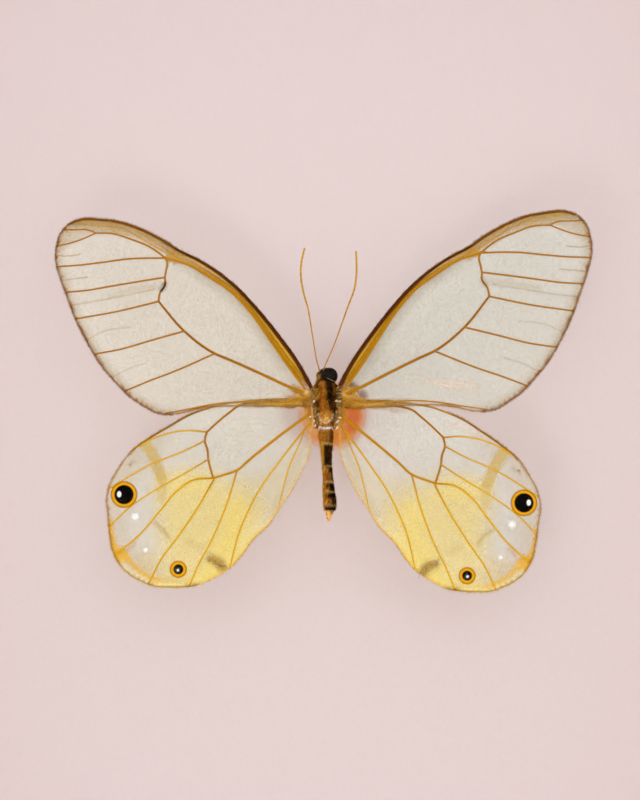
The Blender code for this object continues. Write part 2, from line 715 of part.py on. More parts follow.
def add_plug():
    """A round-topped plug on the card, bored for the pin, and the pin in it."""
    rings = []
    for ring in range(PLUG_RINGS + 1):
        share = ring / PLUG_RINGS
        height = PLUG_HEIGHT * math.sin(share * math.pi / 2)
        fill = max(0.0, 1 - (height / PLUG_HEIGHT) ** PLUG_POWER)
        radius = max(PIN_RADIUS * 3, PLUG_RADIUS * fill ** (1 / PLUG_POWER))
        rings.append([
            on_card(PLUG_X + x, PLUG_Z + z, GAP + height)
            for x, z in circle(radius, PLUG_SIDES)])
    plug = loft("support_plug", rings, FOAM, smooth=True)
    bore = standing_cylinder("plug_bore", 0, PIN_Z, PIN_BOTTOM - PIN_CLEARANCE, PIN_TOP,
                             PIN_RADIUS + PIN_CLEARANCE, PIN_SIDES, STEEL)
    cut(plug, bore, "pin hole")
    standing_cylinder("pin", 0, PIN_Z, PIN_BOTTOM, PIN_TOP, PIN_RADIUS, PIN_SIDES, STEEL)


def add_body():
    """Abdomen, thorax and head in one, with the eyes joined on and a hole for the pin."""
    rings = []
    for up, across, half_width, half_depth, height in BODY_RINGS:
        rings.append([
            on_card(across + half_width * x, up, height + half_depth * z)
            for x, z in circle(1.0, BODY_SIDES)])
    body = loft("body", rings, FUR, smooth=True)
    for number, (up, across, height, radius) in enumerate(EYES, start=1):
        rings = []
        for ring in range(1, EYE_RINGS):
            angle = math.pi * ring / EYE_RINGS
            level = up - radius * math.cos(angle)
            rings.append([
                on_card(across + x, level, height + z)
                for x, z in circle(radius * math.sin(angle), EYE_SIDES)])
        eye = loft(f"eye_{number}", rings, FUR, smooth=True)
        join(body, eye, f"eye {number}")
    hole = standing_cylinder("body_bore", 0, PIN_Z, PLUG_HEIGHT, PIN_TOP + PIN_CLEARANCE,
                             PIN_RADIUS + PIN_CLEARANCE, PIN_SIDES, STEEL)
    cut(body, hole, "pin hole")


def thread(name, points, step, radius, size_at, finish):
    """A slender rod along a smooth line, with a size at each share of its length."""
    line = even_line(points, step)
    curve = bpy.data.curves.new(name, "CURVE")
    curve.dimensions = "3D"
    curve.bevel_depth = radius * MM
    curve.bevel_resolution = THREAD_SIDES
    curve.use_fill_caps = True
    spline = curve.splines.new("POLY")
    spline.points.add(len(line) - 1)
    for index, point in enumerate(line):
        spline.points[index].co = (*on_card(*point), 1.0)
        spline.points[index].radius = size_at(index / (len(line) - 1))
    return add_piece(name, curve, finish)


def add_antennae():
    """Two antennae that thicken towards their tips."""
    for name, points in ANTENNAE.items():
        thread(name, points, ANTENNA_STEP, ANTENNA_RADIUS,
               lambda share: 1 + ANTENNA_CLUB / ANTENNA_RADIUS * share ** 3, AMBER)


def add_legs():
    """Four walking legs, folded under the thorax and back along the abdomen."""
    for leg_name, points in LEGS.items():
        for side_name, side in (("left", -1), ("right", 1)):
            route = [(side * across, up, height) for across, up, height in points]
            thread(f"{leg_name}_{side_name}", route, LEG_STEP, LEG_RADIUS,
                   lambda share: 1 - LEG_TAPER * share, AMBER)


def build():
    """Make the framed specimen."""
    clear_scene()
    add_rails()
    add_layers()
    add_tabs()
    add_hanger()
    add_plug()
    add_body()
    add_wings()
    add_antennae()
    add_legs()


build()
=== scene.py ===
"""The looks of the framed butterfly specimen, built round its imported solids.

Lengths are in millimetres until a mesh is made, and the meshes are in metres. A wing is drawn
on its own flat chart: outward from the body's middle line, and up from the wings' hinge line.
Left and right are as seen from the front.
"""
import math

import bmesh
import bpy
import numpy as np
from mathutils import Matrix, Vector
from mathutils.geometry import delaunay_2d_cdt


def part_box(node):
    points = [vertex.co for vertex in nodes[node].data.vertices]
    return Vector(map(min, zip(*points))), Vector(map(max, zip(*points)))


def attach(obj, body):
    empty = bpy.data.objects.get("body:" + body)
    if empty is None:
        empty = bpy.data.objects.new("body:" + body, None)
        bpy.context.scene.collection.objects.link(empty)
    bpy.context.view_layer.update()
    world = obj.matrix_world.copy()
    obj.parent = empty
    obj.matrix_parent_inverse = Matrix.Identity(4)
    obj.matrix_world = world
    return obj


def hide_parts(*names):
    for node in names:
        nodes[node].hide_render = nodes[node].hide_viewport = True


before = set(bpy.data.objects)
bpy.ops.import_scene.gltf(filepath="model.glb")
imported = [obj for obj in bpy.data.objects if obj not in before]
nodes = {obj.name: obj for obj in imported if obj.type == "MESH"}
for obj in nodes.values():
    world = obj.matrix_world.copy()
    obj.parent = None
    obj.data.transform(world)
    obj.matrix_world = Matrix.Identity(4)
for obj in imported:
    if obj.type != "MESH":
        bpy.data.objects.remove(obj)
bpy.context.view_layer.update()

MM = 0.001

# Where the insect stands in its frame
CARD_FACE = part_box("backing_card")[0].y / MM
WINDOW_MIDDLE = (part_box("rail_left")[0].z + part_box("rail_left")[1].z) / 2 / MM
SPECIMEN_X = 0.75

# The view: as wide and high as the photograph, at the height of the wings
VIEW_HEIGHT = 100.0
WING_LEVEL = 12.5
VIEW_DISTANCE = 455.0
SENSOR = 36.0
CLIP = (0.01, 10.0)

# The studio: an even sky, a key light from the lower left, and four soft lights round the view
SKY = 1.0
SKY_TINT = (1.0, 0.995, 0.985, 1)
FLOOR_REACH = 9.0
FLOOR_TINT = (0.72, 0.71, 0.70)
KEY_FROM = (-0.25, -1.0, -0.37)
KEY_REACH = 1.5
KEY_SIZE = 0.42
KEY_POWER = 2.2
SOFT_SPREAD = 0.36
SOFT_REACH = 1.6
SOFT_SIZE = 0.9
SOFT_POWER = 1.09

# The wings' thin sheets
WING_THICK = 0.12
SHARP_ANGLE = 65
RIDGE_SHARE = 0.65
PLEAT_DEPTH = 0.15
PLEAT_REACH = 2.5
MARGIN_STEP = 0.3
VEIN_STEP = 0.35
FIELD_STEP = 0.42
FIELD_CLEAR = 0.16
VEIN_OVERRUN = 0.6
OVERRUN_REACH = 1.6
MERGE = 0.02
LEFT_SET = {"turn": 0.0, "out": 0.0, "up": 0.0, "size": 1.0, "front_roll": 0.0, "back_roll": 0.0}
FOREWING_RIGHT_SET = {
    "turn": 2.1, "out": -0.27, "up": -0.25, "size": 1.01, "front_roll": 0.3, "back_roll": -0.08}
HINDWING_RIGHT_SET = {
    "turn": -1.95, "out": -0.09, "up": -0.18, "size": 1.0, "front_roll": -0.32, "back_roll": 0.24}

# The wings' hairs: how deep their roots are, their bend, their stray and how many to a millimetre
HAIR_SUNK = 0.02
WING_HAIR_DROOP = 0.12
STRAY = 0.22
VEIN_HAIRS = 6
WING_SEED = 11

# Forewing, from the front of the root, round the tip, to the back of the root
FOREWING_MARGIN = [
    (1.6, 1.6), (3.25, 4.6), (5.75, 8.1), (8.25, 11.2), (10.75, 13.9), (13.25, 16.0),
    (15.75, 17.6), (18.25, 18.8), (20.75, 20.3), (23.25, 21.5), (25.75, 22.3), (28.25, 22.6),
    (30.5, 22.6), (32.0, 22.0), (33.1, 20.75), (33.6, 19.1), (33.7, 17.5), (33.0, 14.8),
    (32.2, 12.6), (31.2, 10.0), (29.2, 6.1), (28.0, 4.2), (26.0, 1.9), (24.5, 0.4),
    (22.9, -0.7), (21.25, -1.6), (19.5, -1.85), (17.75, -1.6), (15.75, -1.1), (12.6, -0.8),
    (8.9, -0.8), (5.4, -0.9), (4.1, -1.0), (3.25, -0.75), (1.9, -0.1),
]
FOREWING_TIP = 13
FOREWING_COSTA = (0.28, 0.16)

# Each vein: its radius where it starts, its radius where it ends, and its line
FOREWING_VEINS = {
    "radius": (0.20, 0.15, [
        (2.6, 1.4), (4.5, 3.9), (7.0, 7.5), (9.5, 11.0), (12.0, 13.6), (14.5, 15.25),
        (17.0, 16.75), (20.0, 17.7)]),
    "radial_stem": (0.15, 0.13, [
        (20.0, 17.7), (22.0, 19.1), (24.5, 20.1), (26.6, 20.75), (28.65, 20.8)]),
    "radial_upper": (0.12, 0.11, [(28.65, 20.8), (29.7, 21.2), (31.1, 21.2), (32.8, 21.2)]),
    "radial_lower": (0.12, 0.11, [(28.65, 20.8), (30.75, 19.9), (32.0, 19.5), (33.5, 19.2)]),
    "subcostal_outer": (0.11, 0.10, [
        (18.6, 17.7), (20.9, 18.9), (23.1, 20.2), (25.4, 21.4), (26.9, 22.2)]),
    "cell_end": (0.16, 0.16, [
        (20.0, 17.7), (19.8, 17.1), (19.95, 16.2), (20.1, 15.3), (20.05, 14.4),
        (20.7, 13.4), (20.9, 12.3)]),
    "medial_1": (0.15, 0.13, [
        (20.0, 17.7), (22.0, 17.7), (24.5, 17.6), (28.25, 17.1), (30.75, 16.8), (33.6, 16.6)]),
    "medial_2": (0.15, 0.13, [
        (20.1, 15.3), (22.6, 14.9), (27.0, 14.15), (29.5, 13.7), (32.6, 13.4)]),
    "medial_3": (0.15, 0.13, [(20.9, 12.3), (23.25, 11.7), (25.75, 11.1), (31.2, 10.1)]),
    "cubitus": (0.25, 0.17, [
        (2.9, 1.0), (4.5, 1.6), (7.0, 2.75), (9.5, 3.9), (12.0, 5.0), (13.9, 5.8),
        (17.7, 8.6), (20.9, 12.3)]),
    "cubital_1": (0.15, 0.13, [(17.7, 8.6), (21.6, 7.5), (25.75, 6.3), (29.0, 5.7)]),
    "cubital_2": (0.15, 0.13, [(13.9, 5.8), (19.1, 3.5), (22.0, 2.4), (25.0, 1.15)]),
    "anal": (0.14, 0.10, [
        (2.6, 0.25), (4.5, -0.25), (7.0, -0.3), (11.4, -0.25), (14.5, -0.6), (17.0, -1.1),
        (19.25, -1.5)]),
}

# Hindwing, on the same two lines
HINDWING_MARGIN = [
    (1.9, -0.4), (4.5, 0.25), (7.0, 0.25), (10.75, -0.1), (12.6, -0.3), (15.1, -1.0),
    (17.0, -1.7), (19.5, -3.1), (22.0, -4.6), (24.25, -6.25), (26.0, -8.6), (27.0, -10.4),
    (27.4, -12.1), (27.25, -14.1), (27.0, -16.5), (26.7, -18.5), (26.1, -20.0),
    (24.5, -21.75), (23.0, -22.6), (21.4, -23.2), (19.5, -23.35), (17.6, -23.3),
    (16.1, -23.1), (14.5, -22.4), (12.5, -21.3), (10.75, -19.6), (9.25, -17.5),
    (7.0, -15.3), (5.9, -13.6), (4.5, -11.6), (3.25, -9.25), (2.1, -6.6), (1.9, -4.6),
    (1.75, -2.5),
]
HINDWING_TIP = 9
HINDWING_COSTA = (0.16, 0.14)
HINDWING_VEINS = {
    "radius": (0.20, 0.16, [
        (2.6, -0.75), (5.75, -0.45), (9.5, -0.35), (11.0, -0.75), (12.0, -1.5),
        (13.25, -2.5), (14.9, -4.0)]),
    "sector": (0.14, 0.12, [
        (14.9, -4.0), (17.0, -3.8), (19.5, -4.1), (21.75, -4.9), (24.0, -6.1)]),
    "cell_end": (0.18, 0.16, [
        (14.9, -4.0), (15.15, -5.1), (14.8, -6.25), (14.7, -7.4), (14.1, -9.75)]),
    "medial_1": (0.13, 0.12, [
        (15.15, -5.1), (17.6, -6.3), (22.0, -8.1), (24.5, -9.5), (27.25, -11.2)]),
    "medial_2": (0.13, 0.12, [
        (14.7, -7.4), (17.0, -8.8), (20.75, -10.9), (24.5, -13.4), (26.9, -15.7)]),
    "medial_3": (0.17, 0.14, [
        (14.1, -9.75), (16.6, -10.0), (18.5, -11.25), (20.75, -13.9), (23.25, -16.8),
        (26.4, -19.4)]),
    "cubital_1": (0.16, 0.14, [
        (14.0, -9.9), (15.75, -13.0), (18.25, -16.75), (20.75, -20.2), (21.9, -22.5)]),
    "cubital_2": (0.15, 0.13, [
        (11.1, -8.75), (12.25, -12.6), (14.4, -17.75), (15.75, -20.25), (16.9, -22.9)]),
    "cubitus": (0.24, 0.18, [
        (2.25, -1.9), (4.5, -3.5), (7.0, -5.4), (9.5, -7.4), (11.1, -8.75), (12.6, -9.3),
        (14.1, -9.75)]),
    "anal_2": (0.15, 0.13, [
        (2.1, -3.0), (3.25, -4.4), (5.75, -7.6), (8.25, -11.1), (9.5, -13.4),
        (10.75, -16.25), (11.9, -20.5)]),
    "anal_3": (0.11, 0.10, [
        (2.75, -4.0), (3.6, -6.1), (4.5, -8.1), (5.1, -10.1), (5.9, -13.25)]),
}

# Body rings from the tail to the crown: how far up, across, half width, half depth, height
BODY_RINGS = [
    (-15.25, 0.31, 0.12, 0.12, 10.35), (-14.5, 0.38, 0.38, 0.36, 10.35),
    (-13.9, 0.45, 0.60, 0.55, 10.35), (-13.5, 0.48, 0.70, 0.66, 10.38),
    (-12.5, 0.45, 0.74, 0.74, 10.42), (-11.2, 0.33, 0.68, 0.74, 10.50),
    (-10.0, 0.25, 0.57, 0.68, 10.58), (-8.1, 0.12, 0.54, 0.66, 10.70),
    (-6.9, 0.05, 0.59, 0.70, 10.80), (-5.5, 0.03, 0.74, 0.82, 10.90),
    (-4.4, -0.02, 0.84, 0.92, 10.95), (-3.75, -0.04, 0.84, 0.90, 10.95),
    (-3.3, -0.05, 1.00, 1.25, 10.98), (-2.4, -0.05, 1.12, 1.60, 11.00),
    (-1.2, -0.03, 1.22, 1.90, 11.00), (0.2, 0.00, 1.30, 2.00, 11.00),
    (1.2, -0.04, 1.38, 1.92, 11.02), (1.8, -0.06, 1.30, 1.70, 11.10),
    (2.25, -0.05, 1.10, 1.30, 11.16), (2.6, 0.0, 0.92, 1.00, 11.20),
    (3.0, 0.06, 0.98, 1.02, 11.25), (3.5, 0.10, 0.92, 0.94, 11.25),
    (3.85, 0.14, 0.70, 0.72, 11.25), (4.05, 0.16, 0.42, 0.44, 11.25),
]
BODY_STEP = 0.13
BODY_SIDES = 44
SEGMENT_LINES = (-3.6, -5.45, -8.2, -10.3, -11.6, -13.3)
WAIST = -3.6

# The body's clumps of scales and its hairs
MOTTLE_COUNT = 420
FUR_DRAWS = 25000
FUR_DROOP = 0.25
TUFT_HAIRS = 620
EYE_SCALES = 60
MOTTLE_SEED = 5
FUR_SEED = 7

# Eyes: up, across, height above the card, radius
EYES = [(3.0, 0.42, 11.65, 1.07), (3.05, -0.60, 10.95, 0.62)]
EYE_SIDES, EYE_ROWS = 40, 24

# Antennae and folded legs: across, up and height above the card
ANTENNAE = {
    "antenna_left": [
        (-0.78, 3.55, 11.6), (-0.92, 4.1, 11.9), (-1.12, 4.8, 12.1), (-1.55, 7.2, 12.3),
        (-1.9, 9.4, 12.5), (-2.25, 11.4, 12.6), (-2.8, 13.4, 12.7), (-3.1, 15.0, 12.8),
        (-3.15, 16.5, 12.9), (-2.95, 17.8, 13.0), (-2.65, 19.0, 13.0)],
    "antenna_right": [
        (-0.34, 3.7, 11.9), (-0.12, 4.3, 12.2), (0.28, 5.2, 12.3), (1.1, 7.1, 12.4),
        (2.0, 9.6, 12.5), (2.75, 11.7, 12.6), (3.55, 13.9, 12.7), (3.8, 15.9, 12.8),
        (3.8, 17.2, 12.9), (3.75, 18.6, 13.0)],
}
LEGS = {
    "middle_leg": [
        (0.40, 0.8, 8.65), (0.60, 2.2, 8.85), (0.80, 3.4, 9.35), (0.78, 2.4, 8.60),
        (0.80, 0.4, 8.45), (0.70, -1.6, 8.55), (0.55, -3.2, 8.75)],
    "hind_leg": [
        (0.30, -1.4, 8.65), (0.34, -3.0, 8.95), (0.32, -4.6, 9.30), (0.30, -6.6, 9.35),
        (0.26, -8.4, 9.30), (0.22, -10.4, 9.20)],
}
ANTENNA_THIN = 0.075
ANTENNA_THICK = 0.12
BEAD = 0.30
LEG_THICK = 0.15
LEG_THIN = 0.085

# Pale plates at the wings' roots: across, up, half length, half width, turn in degrees
SCLERITES = [
    (-1.5, -0.15, 0.26, 0.12, 60), (-1.95, -2.1, 0.22, 0.10, 10), (-1.5, -2.6, 0.20, 0.10, 100),
    (-1.35, -3.2, 0.24, 0.08, 70), (1.3, -0.1, 0.22, 0.12, 20), (1.72, -0.15, 0.20, 0.10, -20),
    (1.45, -2.7, 0.30, 0.11, 40), (1.4, -3.45, 0.30, 0.10, 50), (1.75, -2.2, 0.26, 0.09, -10),
]
SCLERITE_LEVEL = 12.35
PLATE_SIDES, PLATE_ROWS = 14, 9

# The support under the thorax
PLUG_MIDDLE = (0.75, -2.0)
PLUG_RADIUS = 4.35
PLUG_HEIGHT = 8.0
PLUG_SLOPE = 2.2
PLUG_FADE = (3.0, 4.3)
PLUG_SIDES, PLUG_ROWS = 72, 60

# The card, the orange tint round the support's foot, and two dark spots of painted shadow: middle,
# reach and share
CARD_TINT = np.array([0.79, 0.667, 0.66])
PAPER_SPREAD = 0.015
GLOW_MIDDLE = (0.85, -2.0)
GLOW_REACH = (3.3, 4.9)
GLOW_TINT = (0.95, 0.37, 0.10)
PAINTED_SHADOW_SPOTS = [((3.2, 1.5), (0.4, 1.3), 0.9), ((4.7, 0.6), (0.2, 1.1), 0.75)]
# The colour of the card's painted shadows
SHADOW_MAUVE = (0.19, 0.06, 0.05)

# Fine lines in the wings that are not raised veins: half width, softness, share, line
FOREWING_FOLDS = [
    (0.05, 0.30, 0.374, [(21.4, 13.8), (24.3, 13.2), (28.2, 12.4), (31.7, 11.8)]),
    (0.06, 0.22, 0.55, [(30.8, 18.1), (32.0, 17.95), (33.4, 18.0)]),
    (0.06, 0.22, 0.462, [(29.8, 15.3), (31.4, 15.1), (33.0, 14.9)]),
    (0.06, 0.25, 0.308, [(24.5, 9.1), (27.6, 8.6), (29.8, 7.5)]),
    (0.06, 0.25, 0.286, [(22.6, 4.6), (24.6, 3.9), (26.7, 2.75)]),
]
SUBCOSTAL_LINES = [
    [(18.25, 17.7), (20.3, 19.0), (22.25, 20.2), (23.9, 21.4)],
    [(25.75, 20.6), (27.1, 21.5), (28.1, 21.8), (29.5, 22.2), (30.6, 22.4)],
]

# Streaks behind the forewing's front edge: shares of the way back, reach outward, points in each
STREAK_SHARES = (0.22, 0.42, 0.62, 0.82)
STREAK_REACH = (2.4, 18.0)
STREAK_POINTS = 20

# The hindwing's tan bar
BAR = [(22.7, -5.35), (21.95, -6.35), (21.35, -7.5), (20.95, -8.7), (20.55, -9.7)]

# Lines that the wings' sheets have edges beside: half width and line
FOREWING_MARKS = [(0.16, fold[3]) for fold in FOREWING_FOLDS]
FOREWING_MARKS += [(0.12, line) for line in SUBCOSTAL_LINES]
HINDWING_MARKS = [
    (0.48, BAR), (0.76, BAR), (0.1, [(13.0, -20.9), (14.8, -19.6)]),
    (0.1, [(12.5, -20.6), (14.0, -19.6)])]
STREAK_MARK = 0.07

# Soft white dots: middle and radius
DOTS = [((23.8, -14.55), 0.44), ((22.5, -18.7), 0.28)]

# The wings' eyespots: middle, radius of the dark disc and of the ring, pupil's middle and size
EYESPOTS = [
    {"middle": (25.2, -11.8), "dark": 1.2, "ring": 1.66,
     "pupil": (25.8, -11.75), "size": (0.27, 0.38)},
    {"middle": (18.4, -21.1), "dark": 0.62, "ring": 1.08,
     "pupil": (18.45, -21.2), "size": (0.16, 0.16)},
]
EYESPOT_SIDES = 40

# Grain of the wings' pigment: noise scale and detail, from and to, lowest and highest shade
PIGMENT_GRAIN = (5200.0, 3.0, 0.25, 0.75, 0.86, 1.13)

# The film's dust and the place without it, its gloss, and the cover from which grain leaves no gaps
DUST_FREE_MIDDLE = (0.8, -1.4)
DUST_FREE_REACH = (4.0, 5.6)
DUST_SCALE = 3400.0
DUST_STOPS = ((0.40, (0.012, 0.017, 0.013)), (0.60, (0.074, 0.115, 0.093)))
FILM_GLOSS = (0.010, 0.0095, 0.009)
SOLID_COVER = 0.6

# Lowest and highest shade of the other grains
FUR_SPREAD = (0.72, 1.25)
SKIN_SPREAD = (0.35, 1.75)
FOAM_SPREAD = (0.9, 1.1)

# The pane bends light little, so that it reflects little
GLASS_IOR = 1.07


def tone(red, green, blue):
    """A colour as it looks on a screen, 0 to 255, made linear."""
    shares = np.array([red, green, blue]) / 255
    return np.where(shares <= 0.04045, shares / 12.92, ((shares + 0.055) / 1.055) ** 2.4)


def on_card(across, up, height):
    """Places in metres, from how far across the insect, up from its hinge line and off the card."""
    return np.stack([
        SPECIMEN_X + across, CARD_FACE - height + 0 * across, WINDOW_MIDDLE + up], axis=-1) * MM


def smooth_line(points, step):
    """A smooth curve through the points, as points about one step apart."""
    knots = np.array(points, float)
    spans = np.linalg.norm(np.diff(knots, axis=0), axis=1)[:, None]
    runs = np.diff(knots, axis=0) / spans
    bends = (runs[:-1] * spans[1:] + runs[1:] * spans[:-1]) / (spans[:-1] + spans[1:])
    aims = np.vstack([runs[:1], bends, runs[-1:]])
    parts = [knots[:1]]
    for index, span in enumerate(spans[:, 0]):
        share = np.linspace(0, 1, max(1, round(span / step)) + 1)[1:, None]
        turn = share ** 2 * (3 - 2 * share)
        parts.append(
            knots[index] * (1 - turn) + knots[index + 1] * turn
            + aims[index] * share * (1 - share) ** 2 * span
            - aims[index + 1] * share ** 2 * (1 - share) * span)
    return np.vstack(parts)


def even_line(points, step):
    """A smooth curve through the points, with its points evenly about one step apart."""
    fine = smooth_line(points, step / 4)
    gone = np.concatenate([[0], np.cumsum(np.linalg.norm(np.diff(fine, axis=0), axis=1))])
    marks = np.linspace(0, gone[-1], max(2, round(gone[-1] / step) + 1))
    return np.column_stack([np.interp(marks, gone, column) for column in fine.T])


def side_steps(line):
    """The unit step to the left of a flat line, at each of its points."""
    runs = np.gradient(line, axis=0)
    steps = np.column_stack([-runs[:, 1], runs[:, 0]])
    return steps / np.linalg.norm(steps, axis=1)[:, None]


def measure(points, line):
    """How far flat points are from a line, and how far along it the nearest place is, 0 to 1."""
    starts, runs = line[:-1], np.diff(line, axis=0)
    best = np.full(len(points), np.inf)
    along = np.zeros(len(points))
    for index, (start, run) in enumerate(zip(starts, runs)):
        share = np.clip((points - start) @ run / (run @ run), 0, 1)
        gap = np.linalg.norm(points - start - share[:, None] * run, axis=1)
        closer = gap < best
        best[closer] = gap[closer]
        along[closer] = (index + share[closer]) / len(runs)
    return best, along


def inside(points, outline):
    """Which flat points are inside a closed outline."""
    within = np.zeros(len(points), bool)
    for start, end in zip(outline, np.roll(outline, -1, axis=0)):
        if start[1] != end[1]:
            cross = (start[1] > points[:, 1]) != (end[1] > points[:, 1])
            share = (points[:, 1] - start[1]) / (end[1] - start[1])
            within ^= cross & (points[:, 0] < start[0] + share * (end[0] - start[0]))
    return within


def fade(values, full, none):
    """1 at full and before it, 0 at none and past it, and smooth between them."""
    share = np.clip((none - values) / (none - full), 0, 1)
    return share * share * (3 - 2 * share)


def stroke(chart, points, half_width, soft):
    """How much of a soft-edged brush stroke lies on each chart point."""
    gap, _ = measure(chart, even_line(points, 0.4))
    return fade(gap, max(0.0, half_width - soft / 2), half_width + soft / 2)


def patch(chart, outline, soft):
    """How much of a soft-edged area lies on each chart point."""
    loop = smooth_line(list(outline) + [outline[0]], 0.5)
    gap, _ = measure(chart, loop)
    return fade(np.where(inside(chart, loop), -gap, gap), -soft / 2, soft / 2)


def disc(chart, middle, size, soft):
    """How much of a soft-edged round spot lies on each chart point."""
    reach = np.linalg.norm((chart - middle) / size, axis=1)
    edge = soft / min(np.atleast_1d(size)) / 2
    return fade(reach, 1 - edge, 1 + edge)


def rolled(points, tip, front_roll, back_roll):
    """A margin with its front and back edges moved inward, most in their middles."""
    line = np.array(points, float)
    index = np.arange(len(line))
    back = (index - tip) / (len(line) - 1 - tip)
    amount = np.where(index < tip, front_roll * np.sin(np.pi * index / tip),
                      back_roll * np.sin(np.pi * np.maximum(back, 0)))
    return line - side_steps(line) * amount[:, None]


def vein_lines(front, margin, costa, veins):
    """Every vein of a wing as a middle line, its radius at each point, and the sides to draw."""
    share = np.linspace(0, 1, len(front))[:, None]
    radii = costa[0] + (costa[1] - costa[0]) * share
    lines = {"costa": (front - side_steps(front) * radii, radii[:, 0], (0.5, -0.5, -1))}
    for name, (start, end, points) in veins.items():
        middle = even_line(points, VEIN_STEP)
        if measure(middle[-1:], margin)[0][0] < OVERRUN_REACH:
            run = middle[-1] - middle[-2]
            middle = np.vstack([middle, middle[-1] + run / np.linalg.norm(run) * VEIN_OVERRUN])
        lines[name] = (middle, np.linspace(start, end, len(middle)), (0.55, -0.55, 1, -1))
    return lines


def field_points(margin, lines):
    """Evenly spread points in the clear fields between the veins."""
    low, high = margin.min(axis=0), margin.max(axis=0)
    columns = np.arange(low[0], high[0], FIELD_STEP)
    rows = np.arange(low[1], high[1], FIELD_STEP * math.sqrt(3) / 2)
    grid = np.array([
        (column + FIELD_STEP / 2 * (row % 2), up)
        for row, up in enumerate(rows) for column in columns])
    clear = inside(grid, margin) & (measure(grid, margin)[0] > FIELD_CLEAR)
    for middle, radii, _ in lines.values():
        clear &= measure(grid, middle)[0] > radii.max() + FIELD_CLEAR
    return grid[clear]


def streak_lines(front, lines):
    """Lines that run outward between a forewing's front edge and its first long vein."""
    marks = np.linspace(*STREAK_REACH, STREAK_POINTS)
    inner = lines["radius"][0]
    outer_up = np.interp(marks, front[:, 0], front[:, 1])
    inner_up = np.interp(marks, inner[:, 0], inner[:, 1])
    return [np.column_stack([marks, outer_up + (inner_up - outer_up) * share])
            for share in STREAK_SHARES]


def wing_sheet(margin, lines, loops, marks):
    """Flat triangles over a wing, with edges on its margin, veins, fine marks and spots' rims."""
    points = list(margin)
    edges = [(index, (index + 1) % len(margin)) for index in range(len(margin))]
    for middle, radii, sides in lines.values():
        left = side_steps(middle)
        for offset in (0, *sides):
            first = len(points)
            points += list(middle + left * radii[:, None] * offset)
            edges += [(index, index + 1) for index in range(first, len(points) - 1)]
    for half_width, line in marks:
        middle = even_line(line, VEIN_STEP)
        for offset in (-half_width, 0, half_width):
            first = len(points)
            points += list(middle + side_steps(middle) * offset)
            edges += [(index, index + 1) for index in range(first, len(points) - 1)]
    for loop in loops:
        first = len(points)
        points += list(loop)
        edges += [(first + index, first + (index + 1) % len(loop)) for index in range(len(loop))]
    points += list(field_points(margin, lines))
    joined, _, faces, *_ = delaunay_2d_cdt([Vector(point) for point in points], edges, [], 0, MERGE)
    chart = np.array([tuple(point) for point in joined])
    faces = np.array([tuple(face) for face in faces])
    faces = faces[inside(chart[faces].mean(axis=1), margin)]
    used, renamed = np.unique(faces, return_inverse=True)
    return chart[used], renamed.reshape(faces.shape)


# The least cover that a share is taken of
FAINT = 1e-6


class Paint:
    """The colours of a wing: what its film lets through, and the pigment that covers it."""

    def __init__(self, chart, clear, pigment, cover):
        self.chart = chart
        self.clear = np.tile(clear, (len(chart), 1))
        self.pigment = np.tile(pigment, (len(chart), 1))
        self.cover = np.full(len(chart), cover)

    def lay(self, share, colour):
        """Cover a share of each place with a pigment."""
        share = np.clip(share, 0, 1) + np.zeros(len(self.chart))
        self.cover = self.cover * (1 - share) + share
        new = share / np.maximum(self.cover, FAINT)
        self.pigment = self.pigment + (colour - self.pigment) * new[:, None]


def forewing_height(chart):
    """A forewing's height above the card."""
    return 11.9 + 0.05 * chart[:, 0] + 0.0004 * chart[:, 0] ** 2


def hindwing_height(chart):
    """A hindwing's height above the card."""
    return 11.2 + 0.04 * chart[:, 0] - 0.09 * chart[:, 1]


def chart_to_place(chart, side, setting, height):
    """Places in metres of a wing's chart points."""
    turn = math.radians(setting["turn"])
    cosine, sine = math.cos(turn) * setting["size"], math.sin(turn) * setting["size"]
    out = chart[:, 0] * cosine - chart[:, 1] * sine + setting["out"]
    up = chart[:, 0] * sine + chart[:, 1] * cosine + setting["up"]
    return on_card(side * out, up, height)


def add_mesh(name, points, faces, material, replaced):
    """A mesh piece that rides with the frame and stands for some solids."""
    mesh = bpy.data.meshes.new(name)
    mesh.from_pydata([tuple(point) for point in points], [], [tuple(face) for face in faces])
    mesh.materials.append(material)
    piece = bpy.data.objects.new(name, mesh)
    bpy.context.scene.collection.objects.link(piece)
    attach(piece, "root")
    if replaced:
        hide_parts(*replaced)
    return piece


def add_solid(name, points, faces, material, replaced, colours=None):
    """A smooth closed mesh piece, with a pigment for each of its points."""
    piece = add_mesh(name, points, faces, material, replaced)
    work = bmesh.new()
    work.from_mesh(piece.data)
    bmesh.ops.recalc_face_normals(work, faces=work.faces)
    work.to_mesh(piece.data)
    work.free()
    piece.data.shade_smooth()
    if colours is not None:
        set_colours(piece.data, "pigment", colours)


def set_colours(mesh, name, colours):
    """Keep one colour for each point of a mesh."""
    kept = mesh.attributes.new(name, "FLOAT_COLOR", "POINT")
    full = np.ones((len(colours), 4), np.float32)
    full[:, :3] = colours
    kept.data.foreach_set("color", full.ravel())


def set_numbers(mesh, name, values):
    """Keep one number for each point of a mesh."""
    kept = mesh.attributes.new(name, "FLOAT", "POINT")
    kept.data.foreach_set("value", np.asarray(values, np.float32))


def sheet_height(chart, lines, height_of):
    """The height above the card of a wing's sheet, pleated between its veins."""
    nearest = np.full(len(chart), PLEAT_REACH)
    for middle, _, _ in lines.values():
        nearest = np.minimum(nearest, measure(chart, middle)[0])
    return height_of(chart) - PLEAT_DEPTH * (nearest / PLEAT_REACH) ** 2


